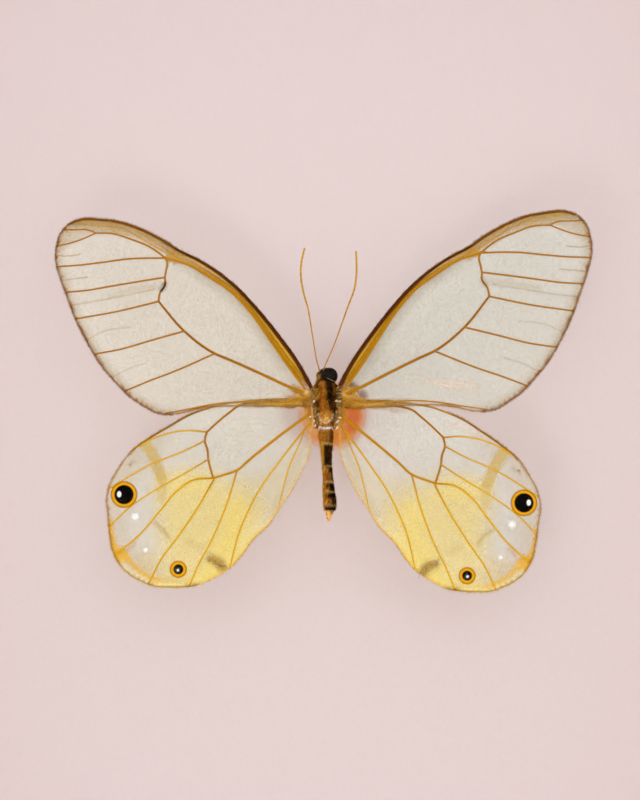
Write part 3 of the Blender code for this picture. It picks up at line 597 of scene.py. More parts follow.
def spot_loops():
    """Rings of points round the edges of the hindwing's spots, pupils and dots."""
    angles = np.linspace(0, 2 * np.pi, EYESPOT_SIDES, endpoint=False)
    round_line = np.column_stack([np.cos(angles), np.sin(angles)])
    loops = []
    for spot in EYESPOTS:
        for part, step in (("dark", -0.06), ("dark", 0.06), ("ring", -0.22), ("ring", -0.08),
                           ("ring", 0.08)):
            loops.append(np.array(spot["middle"]) + round_line * (spot[part] + step))
        for scale in (0.8, 1.2):
            loops.append(np.array(spot["pupil"]) + round_line[::3] * np.array(spot["size"]) * scale)
    for middle, radius in DOTS:
        for scale in (0.4, 0.8, 1.2, 1.6):
            loops.append(np.array(middle) + round_line[::3] * radius * scale)
    return loops


def add_wing(name, side, setting, wing, film, hair):
    """One wing as a thin closed sheet, with raised veins, its colours and its hair."""
    edge = rolled(wing["margin"], wing["tip"], setting["front_roll"], setting["back_roll"])
    margin = even_line(edge, MARGIN_STEP)
    front = margin[:int(np.argmax(margin[:, 0] >= edge[wing["tip"]][0]))]
    lines = vein_lines(front, margin, wing["costa"], wing["veins"])
    marks, loops = list(wing["marks"]), []
    if wing["slot"] == "clear_wing":
        marks += [(STREAK_MARK, line) for line in streak_lines(front, lines)]
    else:
        loops = spot_loops()
    chart, faces = wing_sheet(margin, lines, loops, marks)
    paint = wing["paint"](chart, margin, front, lines, side)
    ridge = np.zeros(len(chart))
    for middle, radii, _ in lines.values():
        gap, along = measure(chart, middle)
        radius = np.interp(along, np.linspace(0, 1, len(radii)), radii)
        ridge = np.maximum(ridge, RIDGE_SHARE * np.sqrt(np.maximum(radius ** 2 - gap ** 2, 0)))
    level = sheet_height(chart, lines, wing["height"])
    half = WING_THICK / 2 + ridge
    tops = chart_to_place(chart, side, setting, level + half)
    bottoms = chart_to_place(chart, side, setting, level - half)
    count = len(chart)
    up_faces = faces if side > 0 else faces[:, ::-1]
    rims = rim_edges(up_faces)
    walls = np.column_stack([rims[:, 1], rims[:, 0], rims[:, 0] + count, rims[:, 1] + count])
    solid = list(up_faces) + list(up_faces[:, ::-1] + count) + list(walls)
    piece = add_mesh(f"fine_{name}", np.vstack([tops, bottoms]), solid, film, (name,))
    piece.data.shade_smooth()
    piece.data.set_sharp_from_angle(angle=math.radians(SHARP_ANGLE))
    set_colours(piece.data, "clear", np.tile(np.sqrt(paint.clear), (2, 1)))
    set_colours(piece.data, "pigment", np.tile(paint.pigment, (2, 1)))
    set_numbers(piece.data, "cover", np.append(np.clip(paint.cover, 0, 1), np.zeros(count)))
    near_body = fade(np.linalg.norm(chart - DUST_FREE_MIDDLE, axis=1), *DUST_FREE_REACH)
    set_numbers(piece.data, "dust", np.tile(1 - near_body, 2))
    groups = wing["hair"](np.random.default_rng(WING_SEED + side), margin, front, lines)
    roots, ways, lengths, widths, colours, lifts = (np.concatenate(parts) for parts in zip(*groups))
    base = sheet_height(roots, lines, wing["height"]) + WING_THICK / 2
    feet = chart_to_place(roots, side, setting, base - HAIR_SUNK) / MM
    tips = chart_to_place(roots + ways, side, setting, base - HAIR_SUNK + lifts) / MM
    add_hairs(f"hair_{name}", feet, tips - feet, lengths, widths, colours, hair,
              WING_HAIR_DROOP)


def rim_edges(faces):
    """The directed edges that only one face has."""
    edges = np.vstack([faces[:, [0, 1]], faces[:, [1, 2]], faces[:, [2, 0]]])
    _, first, counts = np.unique(
        np.sort(edges, axis=1), axis=0, return_index=True, return_counts=True)
    return edges[first[counts == 1]]


# What the wings' films let through, and tints for the left hindwing and the right forewing
FILM = np.array([0.876, 0.861, 0.802])
HIND_FILM = np.array([0.907, 0.915, 0.902])
HIND_TINT = np.array([1.0, 1.0, 0.975])
GREYER = np.array([0.947, 0.976, 1.0])

# Colours of the wings' scales and hairs
CREAM = tone(236, 231, 214)
GOLD = tone(208, 152, 26)
RUST = tone(158, 98, 8)
AMBER = tone(198, 138, 10)
DARK_BROWN = tone(84, 38, 4)
BROWN = tone(122, 72, 14)
TAN = tone(178, 146, 84)
PALE_GOLD = tone(236, 192, 100)
TUFT_GOLD = tone(228, 152, 42)
TUFT_BROWN = tone(142, 80, 20)
BAR_TAN = tone(207, 176, 104)
GREY_TAN = tone(150, 126, 76)
SOOT = tone(64, 46, 30)
LEMON = tone(243, 212, 76)
PALE_LEMON = tone(255, 241, 164)
ORANGE = tone(226, 172, 16)
PUPIL = tone(250, 248, 245)
# The colour of the wings' painted iridescent sheen
PAINTED_SHEEN = tone(250, 208, 178)
FOLD_TAN = tone(172, 132, 66)
HINGE_CREAM = tone(240, 212, 150)
HINGE_GOLD = tone(188, 134, 44)
HIND_HINGE_GOLD = tone(190, 128, 34)
KINK_BROWN = tone(54, 34, 10)
SPECK_BROWN = tone(96, 70, 44)
BAND_GOLD = tone(234, 180, 66)
EDGE_GOLD = tone(236, 188, 62)
RING_GOLD = tone(236, 166, 16)
RING_BROWN = tone(140, 84, 8)
SPOT_BLACK = tone(8, 4, 4)
SMUDGE_BROWN = tone(148, 94, 28)
FRINGE_GOLDS = (tone(250, 200, 66), tone(240, 186, 52), PALE_LEMON, AMBER)
INNER_FRINGE_GOLDS = (tone(238, 200, 110), tone(226, 180, 70))
FOREWING_FACE_TONES = (CREAM, TAN, tone(205, 198, 172))
HINDWING_FACE_TONES = (CREAM, tone(236, 218, 150))

# Painted iridescent sheen: pale pinkish streaks on the right wings, and the brush's half width and
# softness
SHEEN_BRUSH = (0.12, 0.5)
FOREWING_SHEEN_STREAKS = [
    [(10.6, 2.8), (12.6, 2.5), (15.0, 2.0), (17.4, 1.5)], [(14.6, 1.6), (17.2, 1.0), (19.4, 0.5)],
    [(13.0, 2.0), (15.6, 1.4)], [(16.2, 2.1), (19.2, 1.2)]]
HINDWING_SHEEN_STREAKS = [[(15.2, -2.1), (18.0, -3.1), (20.4, -4.5)], [(17.0, -2.1), (19.6, -3.2)]]

# Soft strokes of paint: share, half width, softness, colour, line
HINGE_STREAKS = [
    (0.85, 0.08, 0.16, DARK_BROWN, [(1.9, -0.5), (3.5, -0.8), (5.6, -0.85)]),
    (0.7, 0.08, 0.16, BROWN, [(1.7, 0.15), (3.2, 0.1), (6.5, -0.15), (9.0, -0.3)]),
    (0.7, 0.09, 0.16, PALE_GOLD, [(1.8, 0.6), (3.0, 0.6), (4.6, 1.3)]),
    (0.7, 0.09, 0.16, HINGE_CREAM, [(2.1, 1.0), (3.2, 1.25)]),
    (0.6, 0.07, 0.16, PALE_GOLD, [(2.4, -0.3), (4.4, -0.4), (7.5, -0.5)]),
]
BAR_STROKES = [
    (0.80, 0.72, 0.26, BAR_TAN, BAR),
    (0.5, 0.55, 0.9, BAR_TAN, [(20.5, -10.2), (20.4, -11.2), (20.6, -12.2)]),
    (0.55, 0.2, 0.6, TAN, [(21.3, -15.3), (20.3, -16.2), (19.6, -17.1)]),
    (0.22, 0.4, 0.9, TAN, [(17.3, -17.6), (16.4, -18.1), (15.7, -18.3)]),
]
BAND_STROKES = [
    (0.35, 0.25, 0.8, AMBER, [(26.2, -19.0), (24.6, -18.5), (23.6, -17.6)]),
    (0.34, 0.3, 0.7, GOLD, [(19.8, -22.5), (18.4, -22.7), (17.0, -22.4)]),
]

# Outlines of soft areas of paint
FOREWING_TIP_AREA = [
    (24.5, 20.3), (28.65, 20.9), (30.7, 20.0), (33.4, 18.8), (33.9, 20.0), (32.3, 22.2),
    (30.5, 22.8), (26.0, 22.5)]
FOREWING_HINGE = [
    (1.5, 1.2), (2.4, 1.35), (4.4, 1.7), (3.8, 0.9), (5.2, 0.25), (8.0, 0.0), (11.5, -0.2),
    (11.0, -0.8), (5.4, -0.95), (3.25, -0.8), (1.8, -0.2)]
HINDWING_HINGE = [
    (1.9, -0.3), (4.5, 0.3), (8.0, 0.25), (11.5, -0.15), (11.0, -0.7), (6.0, -0.6),
    (2.9, -0.9), (2.2, -2.4), (1.8, -3.6), (1.5, -2.5)]
YELLOW_AREA = [
    (14.2, -9.2), (16.0, -8.9), (18.5, -9.2), (20.4, -10.4), (20.9, -12.5), (20.8, -16.0),
    (20.9, -19.0), (21.2, -22.0), (19.0, -23.6), (16.0, -23.8), (12.0, -21.6), (9.0, -17.8),
    (7.8, -15.4), (8.2, -13.2), (10.6, -11.0)]
BRIGHT_AREA = [
    (10.6, -12.5), (11.6, -12.8), (13.2, -16.5), (14.6, -19.0), (16.2, -22.9), (14.0, -22.6),
    (11.6, -20.0), (10.4, -16.4)]
INNER_AREA = [(2.6, -5.6), (7.5, -9.0), (11.0, -9.6), (9.0, -15.0), (6.4, -14.2)]
INNER_SHADE = [(2.2, -5.5), (3.4, -6.5), (5.2, -10.5), (7.0, -14.3), (6.0, -14.6), (3.4, -10.2)]
OUTER_SHADE = [(21.0, -19.0), (23.6, -18.9), (24.4, -20.0), (22.2, -21.8)]
BAND_PATCH = [
    (26.7, -16.8), (26.1, -18.0), (24.9, -18.7), (24.3, -19.6), (24.6, -20.3), (25.4, -20.2),
    (26.6, -19.4)]
SMUDGE_AREA = [
    (12.2, -20.9), (12.9, -19.8), (14.6, -19.4), (15.0, -19.9), (14.0, -20.6), (13.1, -21.6)]


def lay_strokes(paint, strokes):
    """Soft strokes of paint, one after another."""
    for share, half_width, soft, colour, line in strokes:
        paint.lay(share * stroke(paint.chart, line, half_width, soft), colour)


def lay_veins(paint, lines, colour_of):
    """Colour each raised vein, with soft sides."""
    for name, (middle, radii, _) in lines.items():
        gap, along = measure(paint.chart, middle)
        radius = np.interp(along, np.linspace(0, 1, len(radii)), radii)
        colour, strength = colour_of(name, along)
        paint.lay(strength * fade(gap / radius, 0.55, 1.0), colour)


def mix(first, second, share):
    """Colours between two, for one share or for each of many."""
    return first + (second - first) * np.asarray(np.clip(share, 0, 1))[..., None]


def paint_forewing(chart, margin, front, lines, side):
    """A clear cream wing with a brown and golden front edge and rusty veins."""
    paint = Paint(chart, FILM, AMBER, 0.0)
    x, z = chart[:, 0], chart[:, 1]
    edge_gap, _ = measure(chart, margin)
    front_gap, _ = measure(chart, front)
    radius_line, stem_line = lines["radius"][0], lines["radial_stem"][0]
    radius_gap, _ = measure(chart, radius_line)
    paint.lay(0.34 * fade(edge_gap, 0.1, 1.7) * fade(-x, -22, -17), TAN)
    shade = list(front[front[:, 0] > 15][::12]) + list(stem_line[::-1][::8])
    between = patch(chart, shade, 0.5)
    paint.lay(0.45 * between * fade(front_gap, 0.2, 2.4), mix(TAN, GOLD, 0.4))
    paint.lay(0.30 * between, TAN)
    paint.lay(0.34 * patch(chart, FOREWING_TIP_AREA, 0.9), TAN)
    for half_width, soft, share, line in FOREWING_FOLDS:
        paint.lay(share * stroke(chart, line, half_width, soft), FOLD_TAN)
    paint.lay(0.20 * stroke(chart, [(20.3, 14.1), (23.5, 13.9), (27.0, 13.0)], 0.35, 0.7), TAN)
    strip = np.vstack([
        front[front[:, 0] < 20.2][::12], radius_line[radius_line[:, 0] < 20.1][::-8]])
    band = patch(chart, strip, 0.3)
    paint.lay(band * (1.0 - 0.03 * np.maximum(x - 9, 0)), mix(GOLD, TAN, (x - 10) / 12))
    streaks = zip(
        streak_lines(front, lines), (BROWN, PALE_GOLD, DARK_BROWN, RUST), (0.9, 0.5, 0.65, 0.95))
    for line, colour, share in streaks:
        paint.lay(share * stroke(chart, line, 0.05, 0.14) * fade(x, 14, 19), colour)
    paint.lay(band * 0.8 * fade(radius_gap, 0.1, 0.5), mix(RUST, AMBER, (x - 3) / 9))
    paint.lay(0.96 * fade(front_gap, 0.32, 0.7) * fade(x, 9, 17), DARK_BROWN)
    hairs = fade(radius_gap, 0.1, 1.8) * fade(np.abs(x - 11), 4.5, 9)
    below = z < np.interp(x, radius_line[:, 0], radius_line[:, 1])
    paint.lay(0.30 * hairs * below, GREY_TAN)
    hinge = patch(chart, FOREWING_HINGE, 0.3)
    paint.lay(0.9 * hinge * fade(x, 4, 13), mix(HINGE_GOLD, TAN, (x - 2) / 9))
    lay_strokes(paint, HINGE_STREAKS)
    if side > 0:
        paint.clear *= GREYER
        # Painted sheen: pinkish iridescent streaks on the right forewing
        lay_strokes(paint, [(0.26, *SHEEN_BRUSH, PAINTED_SHEEN, line) for line in FOREWING_SHEEN_STREAKS])

    def colour_of(name, along):
        if name == "costa":
            return mix(DARK_BROWN, BROWN, (along - 0.75) * 2), 1.0
        if name == "cubitus":
            return mix(AMBER, RUST, 0.5 + along), 1.0
        if name in ("radius", "anal"):
            return mix(AMBER, RUST, 0.35), 1.0
        if name == "subcostal_outer":
            return AMBER, 0.7
        return mix(RUST, AMBER, 0.3), 1.0

    lay_veins(paint, lines, colour_of)
    lay_strokes(paint, [(0.8, 0.05, 0.14, AMBER, line) for line in SUBCOSTAL_LINES])
    kink = stroke(chart, [(20.05, 14.6), (20.15, 14.2), (20.6, 13.6)], 0.15, 0.16)
    paint.lay(kink * (0.95 if side < 0 else 0.3), KINK_BROWN)
    rim = fade(edge_gap, 0.15, 0.38)
    paint.lay(rim * fade(-x, -19.5, -18.5), mix(RUST, DARK_BROWN, 0.5))
    paint.lay(0.9 * rim * fade(x, 18.5, 19.5) * (z < 0.5), RUST)
    return paint


def paint_hindwing(chart, margin, front, lines, side):
    """A clear wing with a yellow lower half, golden veins and two eyespots."""
    paint = Paint(chart, HIND_FILM * (HIND_TINT if side < 0 else 1.0), ORANGE, 0.0)
    x, z = chart[:, 0], chart[:, 1]
    edge_gap, _ = measure(chart, margin)
    base = patch(chart, YELLOW_AREA, 4.6)
    paint.lay(0.50 * base, LEMON)
    paint.lay(0.22 * fade(np.abs(x - 18.0), 2.6, 4.2) * fade(np.abs(z + 10.2), 0.6, 2.2), LEMON)
    paint.lay(0.24 * patch(chart, INNER_AREA, 2.4), mix(TAN, LEMON, 0.6))
    paint.lay(0.36 * patch(chart, BRIGHT_AREA, 2.6), LEMON)
    fibres = 0.5 + 0.5 * np.sin(64 * np.arctan2(z + 2.0, x - 2.0))
    paint.lay(0.06 * base * fibres, PALE_LEMON)
    low = fade(edge_gap, 0.3, 1.8) * fade(np.abs(x - 14.8), 4.5, 8) * (z < -14)
    paint.lay(0.45 * low, mix(LEMON, PALE_LEMON, 0.4))
    paint.lay(0.28 * fade(edge_gap, 0.3, 5.0) * fade(-x, -22.5, -17), TAN)
    paint.lay(0.14 * patch(chart, INNER_SHADE, 0.8), TAN)
    if side > 0:
        # Painted sheen: pinkish iridescent streaks on the right hindwing
        lay_strokes(paint, [(0.24, *SHEEN_BRUSH, PAINTED_SHEEN, line) for line in HINDWING_SHEEN_STREAKS])
    lay_strokes(paint, BAR_STROKES)
    paint.lay(0.7 * disc(chart, (24.4, -7.9), (0.2, 0.16), 0.3), SPECK_BROWN)
    paint.lay(0.35 * stroke(chart, [(23.9, -7.6), (24.6, -8.1)], 0.15, 0.4), GREY_TAN)
    finish_hindwing(paint, edge_gap, lines)
    return paint


def finish_hindwing(paint, edge_gap, lines):
    """The hindwing's marginal band, veins, eyespots and smudge, over its washes."""
    chart = paint.chart
    x, z = chart[:, 0], chart[:, 1]
    band = stroke(chart, [(26.95, -15.0), (26.6, -17.0), (26.2, -18.6)], 0.28, 0.4)
    band = np.maximum(band, patch(chart, BAND_PATCH, 0.5))
    band = np.maximum(band, stroke(chart, [
        (24.8, -19.6), (23.8, -20.8), (22.8, -21.6), (21.6, -22.2), (20.6, -22.6)], 0.3, 0.5))
    paint.lay(0.92 * band, BAND_GOLD)
    lay_strokes(paint, BAND_STROKES)
    paint.lay(0.26 * patch(chart, OUTER_SHADE, 1.4), mix(TAN, LEMON, 0.5))
    low_edge = fade(edge_gap, 0.1, 0.9) * fade(np.abs(x - 21.5), 3.0, 5.0) * (z < -20)
    paint.lay(0.6 * low_edge, PALE_LEMON)
    hinge = patch(chart, HINDWING_HINGE, 0.25)
    paint.lay(0.85 * hinge * fade(x, 4, 12.5), mix(HIND_HINGE_GOLD, TAN, (x - 2) / 9))

    def colour_of(name, along):
        if name == "costa":
            return mix(RUST, BROWN, along), 0.95
        if name in ("radius", "cell_end"):
            return mix(AMBER, RUST, 0.75), 1.0
        if name == "cubitus":
            return mix(AMBER, RUST, 0.2), 1.0
        return mix(RUST, ORANGE, 0.45 + 2.2 * along), 1.0

    lay_veins(paint, lines, colour_of)
    rim = fade(edge_gap, 0.10, 0.28)
    paint.lay(0.95 * rim * fade(-x, -16.5, -15.0), mix(AMBER, DARK_BROWN, 0.45))
    inner_share = 0.45 + 0.45 * fade(z, -15, -11)
    paint.lay(inner_share * rim * fade(x, 15.0, 16.5), EDGE_GOLD)
    for spot in EYESPOTS:
        ring = disc(chart, spot["middle"], spot["ring"], 0.16)
        within = disc(chart, spot["middle"], spot["ring"] - 0.15, 0.2)
        paint.lay(ring, RING_GOLD)
        paint.lay(0.85 * (ring - within), RING_BROWN)
        paint.lay(disc(chart, spot["middle"], spot["dark"], 0.12), SPOT_BLACK)
        paint.lay(disc(chart, spot["pupil"], spot["size"], 0.1), PUPIL)
    for middle, radius in DOTS:
        paint.lay(0.95 * disc(chart, middle, radius, radius * 0.9), PUPIL)
    paint.lay(0.55 * patch(chart, SMUDGE_AREA, 0.9), SMUDGE_BROWN)
    foot = fade(edge_gap, 0.05, 0.5) * fade(np.abs(x - 16.7), 0.7, 1.3) * (z < -20)
    paint.lay(0.6 * foot, mix(RUST, DARK_BROWN, 0.5))


def along_line(draw, line, count, low, high):
    """Random places between two distances to a line's left, with its runs and left steps."""
    steps = np.diff(line, axis=0)
    spots = draw.uniform(0, len(steps), count)
    first = np.minimum(spots.astype(int), len(steps) - 1)
    runs = steps[first] / np.linalg.norm(steps[first], axis=1)[:, None]
    lefts = np.column_stack([-runs[:, 1], runs[:, 0]])
    places = line[first] + steps[first] * (spots - first)[:, None]
    return places + lefts * draw.uniform(low, high, count)[:, None], runs, lefts


def hair_group(draw, roots, ways, length, width, lift, palette, stray=STRAY):
    """Hairs that vary about one length: roots, ways, lengths, widths, colours and lifts."""
    count = len(roots)
    ways = ways + draw.normal(0, stray, ways.shape)
    shades = np.array(palette)[draw.integers(0, len(palette), count)]
    shades = shades * draw.uniform(0.75, 1.25, (count, 1))
    return (roots, ways, length * draw.uniform(0.6, 1.3, count), np.full(count, width), shades,
            lift * draw.random(count))


def line_hairs(draw, line, count, low, high, run, left, *looks):
    """Hairs rooted beside a line, that point partly along it and partly to its left."""
    roots, runs, lefts = along_line(draw, line, count, low, high)
    return hair_group(draw, roots, run * runs + left * lefts, *looks)


def face_hairs(draw, margin, count, start, palette):
    """Fine hairs spread over a wing's face, pointing away from a starting place."""
    spots = draw.uniform(margin.min(axis=0), margin.max(axis=0), (count * 2, 2))
    spots = spots[inside(spots, margin)]
    ways = spots - start
    ways /= np.linalg.norm(ways, axis=1)[:, None]
    return hair_group(draw, spots, ways, 0.20, 0.008, 0.10, palette)


def vein_hairs(draw, lines, palette):
    """Short hairs that lie along every vein."""
    groups = []
    for middle, radii, _ in lines.values():
        count = int(len(middle) * VEIN_STEP * VEIN_HAIRS)
        reach = radii[0] * 0.6
        groups.append(line_hairs(
            draw, middle, count, -reach, reach, 1, 0, 0.2, 0.010, 0.08, palette, 0.1))
    return groups


def forewing_hair(draw, margin, front, lines):
    """A forewing's brown fringe, fuzzy front band, hinge tuft and fine face hairs."""
    outer = margin[margin[:, 0] > 19]
    inner = margin[(margin[:, 1] < 0.5) & (margin[:, 0] <= 19)]
    near, far = front[front[:, 0] < 20], front[front[:, 0] > 17]
    radius = lines["radius"][0]
    radius = radius[radius[:, 0] > 5]
    groups = vein_hairs(draw, lines, (RUST, AMBER, BROWN))
    # Line, number, distances to its left, shares along and left, length, width, lift, colours
    for row in (
            (outer, 1900, -0.05, 0.0, 0.3, 1, 0.23, 0.014, 0.0, (BROWN, RUST, DARK_BROWN)),
            (outer, 900, -0.8, -0.1, 0, 1, 0.3, 0.010, 0.02, (BROWN, RUST, DARK_BROWN)),
            (inner, 500, -0.05, 0.0, -0.8, 1, 0.28, 0.013, 0.0, (AMBER, BROWN, TAN)),
            (near, 1300, -0.45, 0.02, 1, 0.12, 0.5, 0.018, 0.1, (DARK_BROWN, BROWN, SOOT)),
            (near, 500, -1.1, -0.3, 1, 0, 0.5, 0.013, 0.1,
             (PALE_GOLD, DARK_BROWN, AMBER, RUST)),
            (far, 700, -1.0, 0.0, 1, 0, 0.5, 0.012, 0.1, (TAN, BROWN, GOLD, AMBER)),
            (radius, 260, -0.35, 0.0, 0.8, -0.5, 0.26, 0.008, 0.1, (GREY_TAN, BROWN, TAN)),
            (radius, 320, -1.1, 0.0, 0.8, -0.5, 0.26, 0.008, 0.1, (GREY_TAN, BROWN, TAN))):
        groups.append(line_hairs(draw, *row))
    hinge = np.column_stack([1.7 + 9 * draw.random(700) ** 1.6, draw.uniform(-0.75, 0.1, 700)])
    hinge[500:] = (1.6, 0.1) + np.outer(draw.random(200), (2.6, 1.4))
    hinge[500:, 1] += draw.uniform(-0.25, 0.15, 200)
    groups.append(hair_group(draw, hinge, np.tile((1.0, 0.0), (700, 1)), 0.5, 0.014, 0.12,
                             (TUFT_GOLD, TUFT_BROWN, DARK_BROWN, PALE_GOLD), 0.12))
    groups.append(face_hairs(draw, margin, 1800, (2.0, 0.0), FOREWING_FACE_TONES))
    return groups


def hindwing_hair(draw, margin, front, lines):
    """A hindwing's golden fringe, hinge tuft, hairy smudge and fine face hairs."""
    outer = margin[(margin[:, 0] > 15) & (margin[:, 1] > -19)]
    low = margin[margin[:, 1] < -15]
    inner = margin[(margin[:, 0] < 12) & (margin[:, 1] < -5)]
    groups = vein_hairs(draw, lines, (ORANGE, AMBER, GOLD))
    # The same columns as for the forewing
    for row in (
            (outer, 700, -0.05, 0.0, 0.3, 1, 0.22, 0.013, 0.0, (BROWN, RUST, AMBER)),
            (low, 900, -0.05, 0.0, 0.3, 1, 0.28, 0.014, 0.0, FRINGE_GOLDS),
            (inner, 700, -0.05, 0.0, -0.6, 1, 0.30, 0.012, 0.0, INNER_FRINGE_GOLDS)):
        groups.append(line_hairs(draw, *row))
    hinge = np.column_stack([draw.uniform(1.7, 2.3, 120), draw.uniform(-3.2, 0.1, 120)])
    groups.append(hair_group(draw, hinge, np.tile((0.8, -0.5), (120, 1)), 0.26, 0.014, 0.12,
                             (TUFT_GOLD, TUFT_BROWN, TUFT_GOLD, PALE_GOLD)))
    smudge = np.column_stack([draw.uniform(12.3, 14.8, 130), draw.normal(0, 0.35, 130)])
    smudge[:, 1] += -21.1 + 0.55 * (smudge[:, 0] - 12.3)
    groups.append(hair_group(draw, smudge, np.tile((0.5, 0.9), (130, 1)), 0.45, 0.014, 0.05,
                             (BROWN, DARK_BROWN, RUST)))
    groups.append(face_hairs(draw, margin, 420, (2.0, -2.0), HINDWING_FACE_TONES))
    return groups


def new_material(name):
    """An empty node material, its tree and its output's surface socket."""
    material = bpy.data.materials.new(name)
    material.use_nodes = True
    tree = material.node_tree
    tree.nodes.clear()
    return material, tree, tree.nodes.new("ShaderNodeOutputMaterial").inputs["Surface"]


def add_node(tree, kind, *values, **settings):
    """A shader node. Its inputs are given in their order, or by their names with its options."""
    made = tree.nodes.new(f"ShaderNode{kind}")
    for socket, value in zip(made.inputs, values):
        feed(tree, socket, value)
    for name, value in settings.items():
        key = name.replace("_", " ").title().replace("Ior", "IOR")
        if key in made.inputs:
            feed(tree, made.inputs[key], value)
        else:
            setattr(made, name, value)
    return made


def feed(tree, socket, value):
    """Give a socket a link or a plain value."""
    if isinstance(value, bpy.types.NodeSocket):
        tree.links.new(value, socket)
    elif hasattr(value, "__len__") and len(value) == 3 and socket.type == "RGBA":
        socket.default_value = (*value, 1.0)
    else:
        socket.default_value = value


def add_ramp(tree, value, *stops):
    """The colours of a ramp between two stops, each a position and a colour."""
    made = add_node(tree, "ValToRGB", value)
    for element, (position, colour) in zip(made.color_ramp.elements, stops):
        element.position = position
        element.color = (*colour, 1)
    return made.outputs[0]


def add_grain(tree, kept, place, scale, detail, start, end, low, high):
    """A mesh's kept colours, broken up by a fine noise, with the noise and its shade."""
    colour = add_node(tree, "Attribute", attribute_name=kept).outputs["Color"]
    noise = add_node(tree, "TexNoise", vector=place, scale=scale, detail=detail).outputs["Fac"]
    shade = add_node(tree, "MapRange", value=noise, from_min=start, from_max=end, to_min=low,
                     to_max=high).outputs["Result"]
    grainy = add_node(tree, "VectorMath", operation="SCALE", vector=colour, scale=shade).outputs[0]
    return grainy, noise, shade


def film_material(name):
    """A wing: clear film with fine dust and a soft gloss, under grainy pigment."""
    material, tree, surface = new_material(name)
    clear = add_node(tree, "Attribute", attribute_name="clear").outputs["Color"]
    cover = add_node(tree, "Attribute", attribute_name="cover").outputs["Fac"]
    amount = add_node(tree, "Attribute", attribute_name="dust").outputs["Fac"]
    place = add_node(tree, "TexCoord").outputs["Object"]
    grainy, _, shade = add_grain(tree, "pigment", place, *PIGMENT_GRAIN)
    share = add_node(tree, "Math", cover, shade, operation="MULTIPLY", use_clamp=True).outputs[0]
    gate = add_node(tree, "Math", cover, SOLID_COVER, operation="GREATER_THAN").outputs[0]
    held = add_node(tree, "Math", gate, cover, operation="MULTIPLY").outputs[0]
    solid = add_node(tree, "Math", share, held, operation="MAXIMUM").outputs[0]
    glass = add_node(tree, "BsdfTransparent", color=clear).outputs[0]
    mottle = add_node(tree, "TexNoise", vector=place, scale=DUST_SCALE, detail=4.0, roughness=0.8)
    haze = add_ramp(tree, mottle.outputs["Fac"], *DUST_STOPS)
    strewn = add_node(tree, "VectorMath", operation="SCALE", vector=haze, scale=amount).outputs[0]
    dust = add_node(tree, "BsdfDiffuse", color=strewn).outputs[0]
    gloss = add_node(tree, "BsdfAnisotropic", color=FILM_GLOSS, roughness=0.3).outputs[0]
    sheen = add_node(tree, "AddShader", dust, gloss).outputs[0]
    film = add_node(tree, "AddShader", glass, sheen).outputs[0]
    scales = add_node(tree, "BsdfPrincipled", base_color=grainy, roughness=0.55,
                      specular_ior_level=0.02).outputs[0]
    feed(tree, surface, add_node(tree, "MixShader", solid, film, scales).outputs[0])
    return material


def plain_material(name, colour, roughness):
    """One even colour."""
    material, tree, surface = new_material(name)
    made = add_node(tree, "BsdfPrincipled", base_color=colour, roughness=roughness)
    feed(tree, surface, made.outputs[0])
    return material


def glass_material():
    """Clear low-reflection glass."""
    material, tree, surface = new_material("clear_pane")
    made = add_node(tree, "BsdfPrincipled", base_color=(1, 1, 1), roughness=0.0, ior=GLASS_IOR,
                    transmission_weight=1.0)
    feed(tree, surface, made.outputs[0])
    return material


def dress(name, material):
    """Give a solid of the frame its finish."""
    nodes[name].data.materials.clear()
    nodes[name].data.materials.append(material)


def attribute_material(name, roughness, grain, depth, specular, spread=FUR_SPREAD):
    """A surface with its own colours, broken up by a fine grain that also roughens it."""
    material, tree, surface = new_material(name)
    place = add_node(tree, "TexCoord").outputs["Object"]
    grainy, speckle, _ = add_grain(tree, "pigment", place, grain, 4.0, 0.3, 0.7, *spread)
    bump = add_node(tree, "Bump", strength=0.5, distance=depth, height=speckle).outputs[0]
    made = add_node(tree, "BsdfPrincipled", base_color=grainy, roughness=roughness,
                    specular_ior_level=specular, normal=bump)
    feed(tree, surface, made.outputs[0])
    return material


def loft_faces(rings, sides):
    """The faces of a closed tube of rings, with a flat cap at each end."""
    faces = [tuple(range(sides))[::-1], tuple(range((rings - 1) * sides, rings * sides))]
    for ring in range(rings - 1):
        low = ring * sides
        for side in range(sides):
            after = (side + 1) % sides
            faces.append((low + side, low + after, low + sides + after, low + sides + side))
    return faces


def round_grid(sides, rows, inset):
    """A unit ball's rings of points: along its axis, beside it and in front of it."""
    angles = np.linspace(0, 2 * np.pi, sides, endpoint=False)[None, :]
    tilt = np.linspace(inset, np.pi - inset, rows)[:, None]
    steps = (-np.cos(tilt), np.sin(tilt) * np.cos(angles), np.sin(tilt) * np.sin(angles))
    return [(step + 0 * angles).ravel() for step in steps]


def draw_mottles():
    """Small clumps of scales: across, up, half length, half width, which tone, and strength."""
    draw = np.random.default_rng(MOTTLE_SEED)
    up = draw.uniform(-13.9, 2.3, MOTTLE_COUNT)
    width = np.where(up > WAIST, 1.3, 0.75)
    across = draw.uniform(-1, 1, MOTTLE_COUNT) * width + np.where(up > WAIST, 0, 0.25)
    # Clumps to the left take lighter tones and those to the right darker ones: partly painted light
    # and painted shade
    lean = across / width + draw.normal(0, 0.55, MOTTLE_COUNT)
    shade = np.digitize(lean, (-0.55, -0.1, 0.35))
    long = draw.uniform(0.09, 0.24, MOTTLE_COUNT)
    wide = draw.uniform(0.06, 0.13, MOTTLE_COUNT)
    strength = draw.uniform(0.45, 0.9, MOTTLE_COUNT)
    return np.column_stack([across, up, long, wide, shade, strength])


MOTTLES = draw_mottles()
# Tones from golden to near black, picked left to right: partly the scales' own colours, partly
# painted light and shade
MOTTLE_TONES = (tone(244, 184, 64), tone(206, 124, 28), tone(104, 54, 10), tone(14, 6, 2))
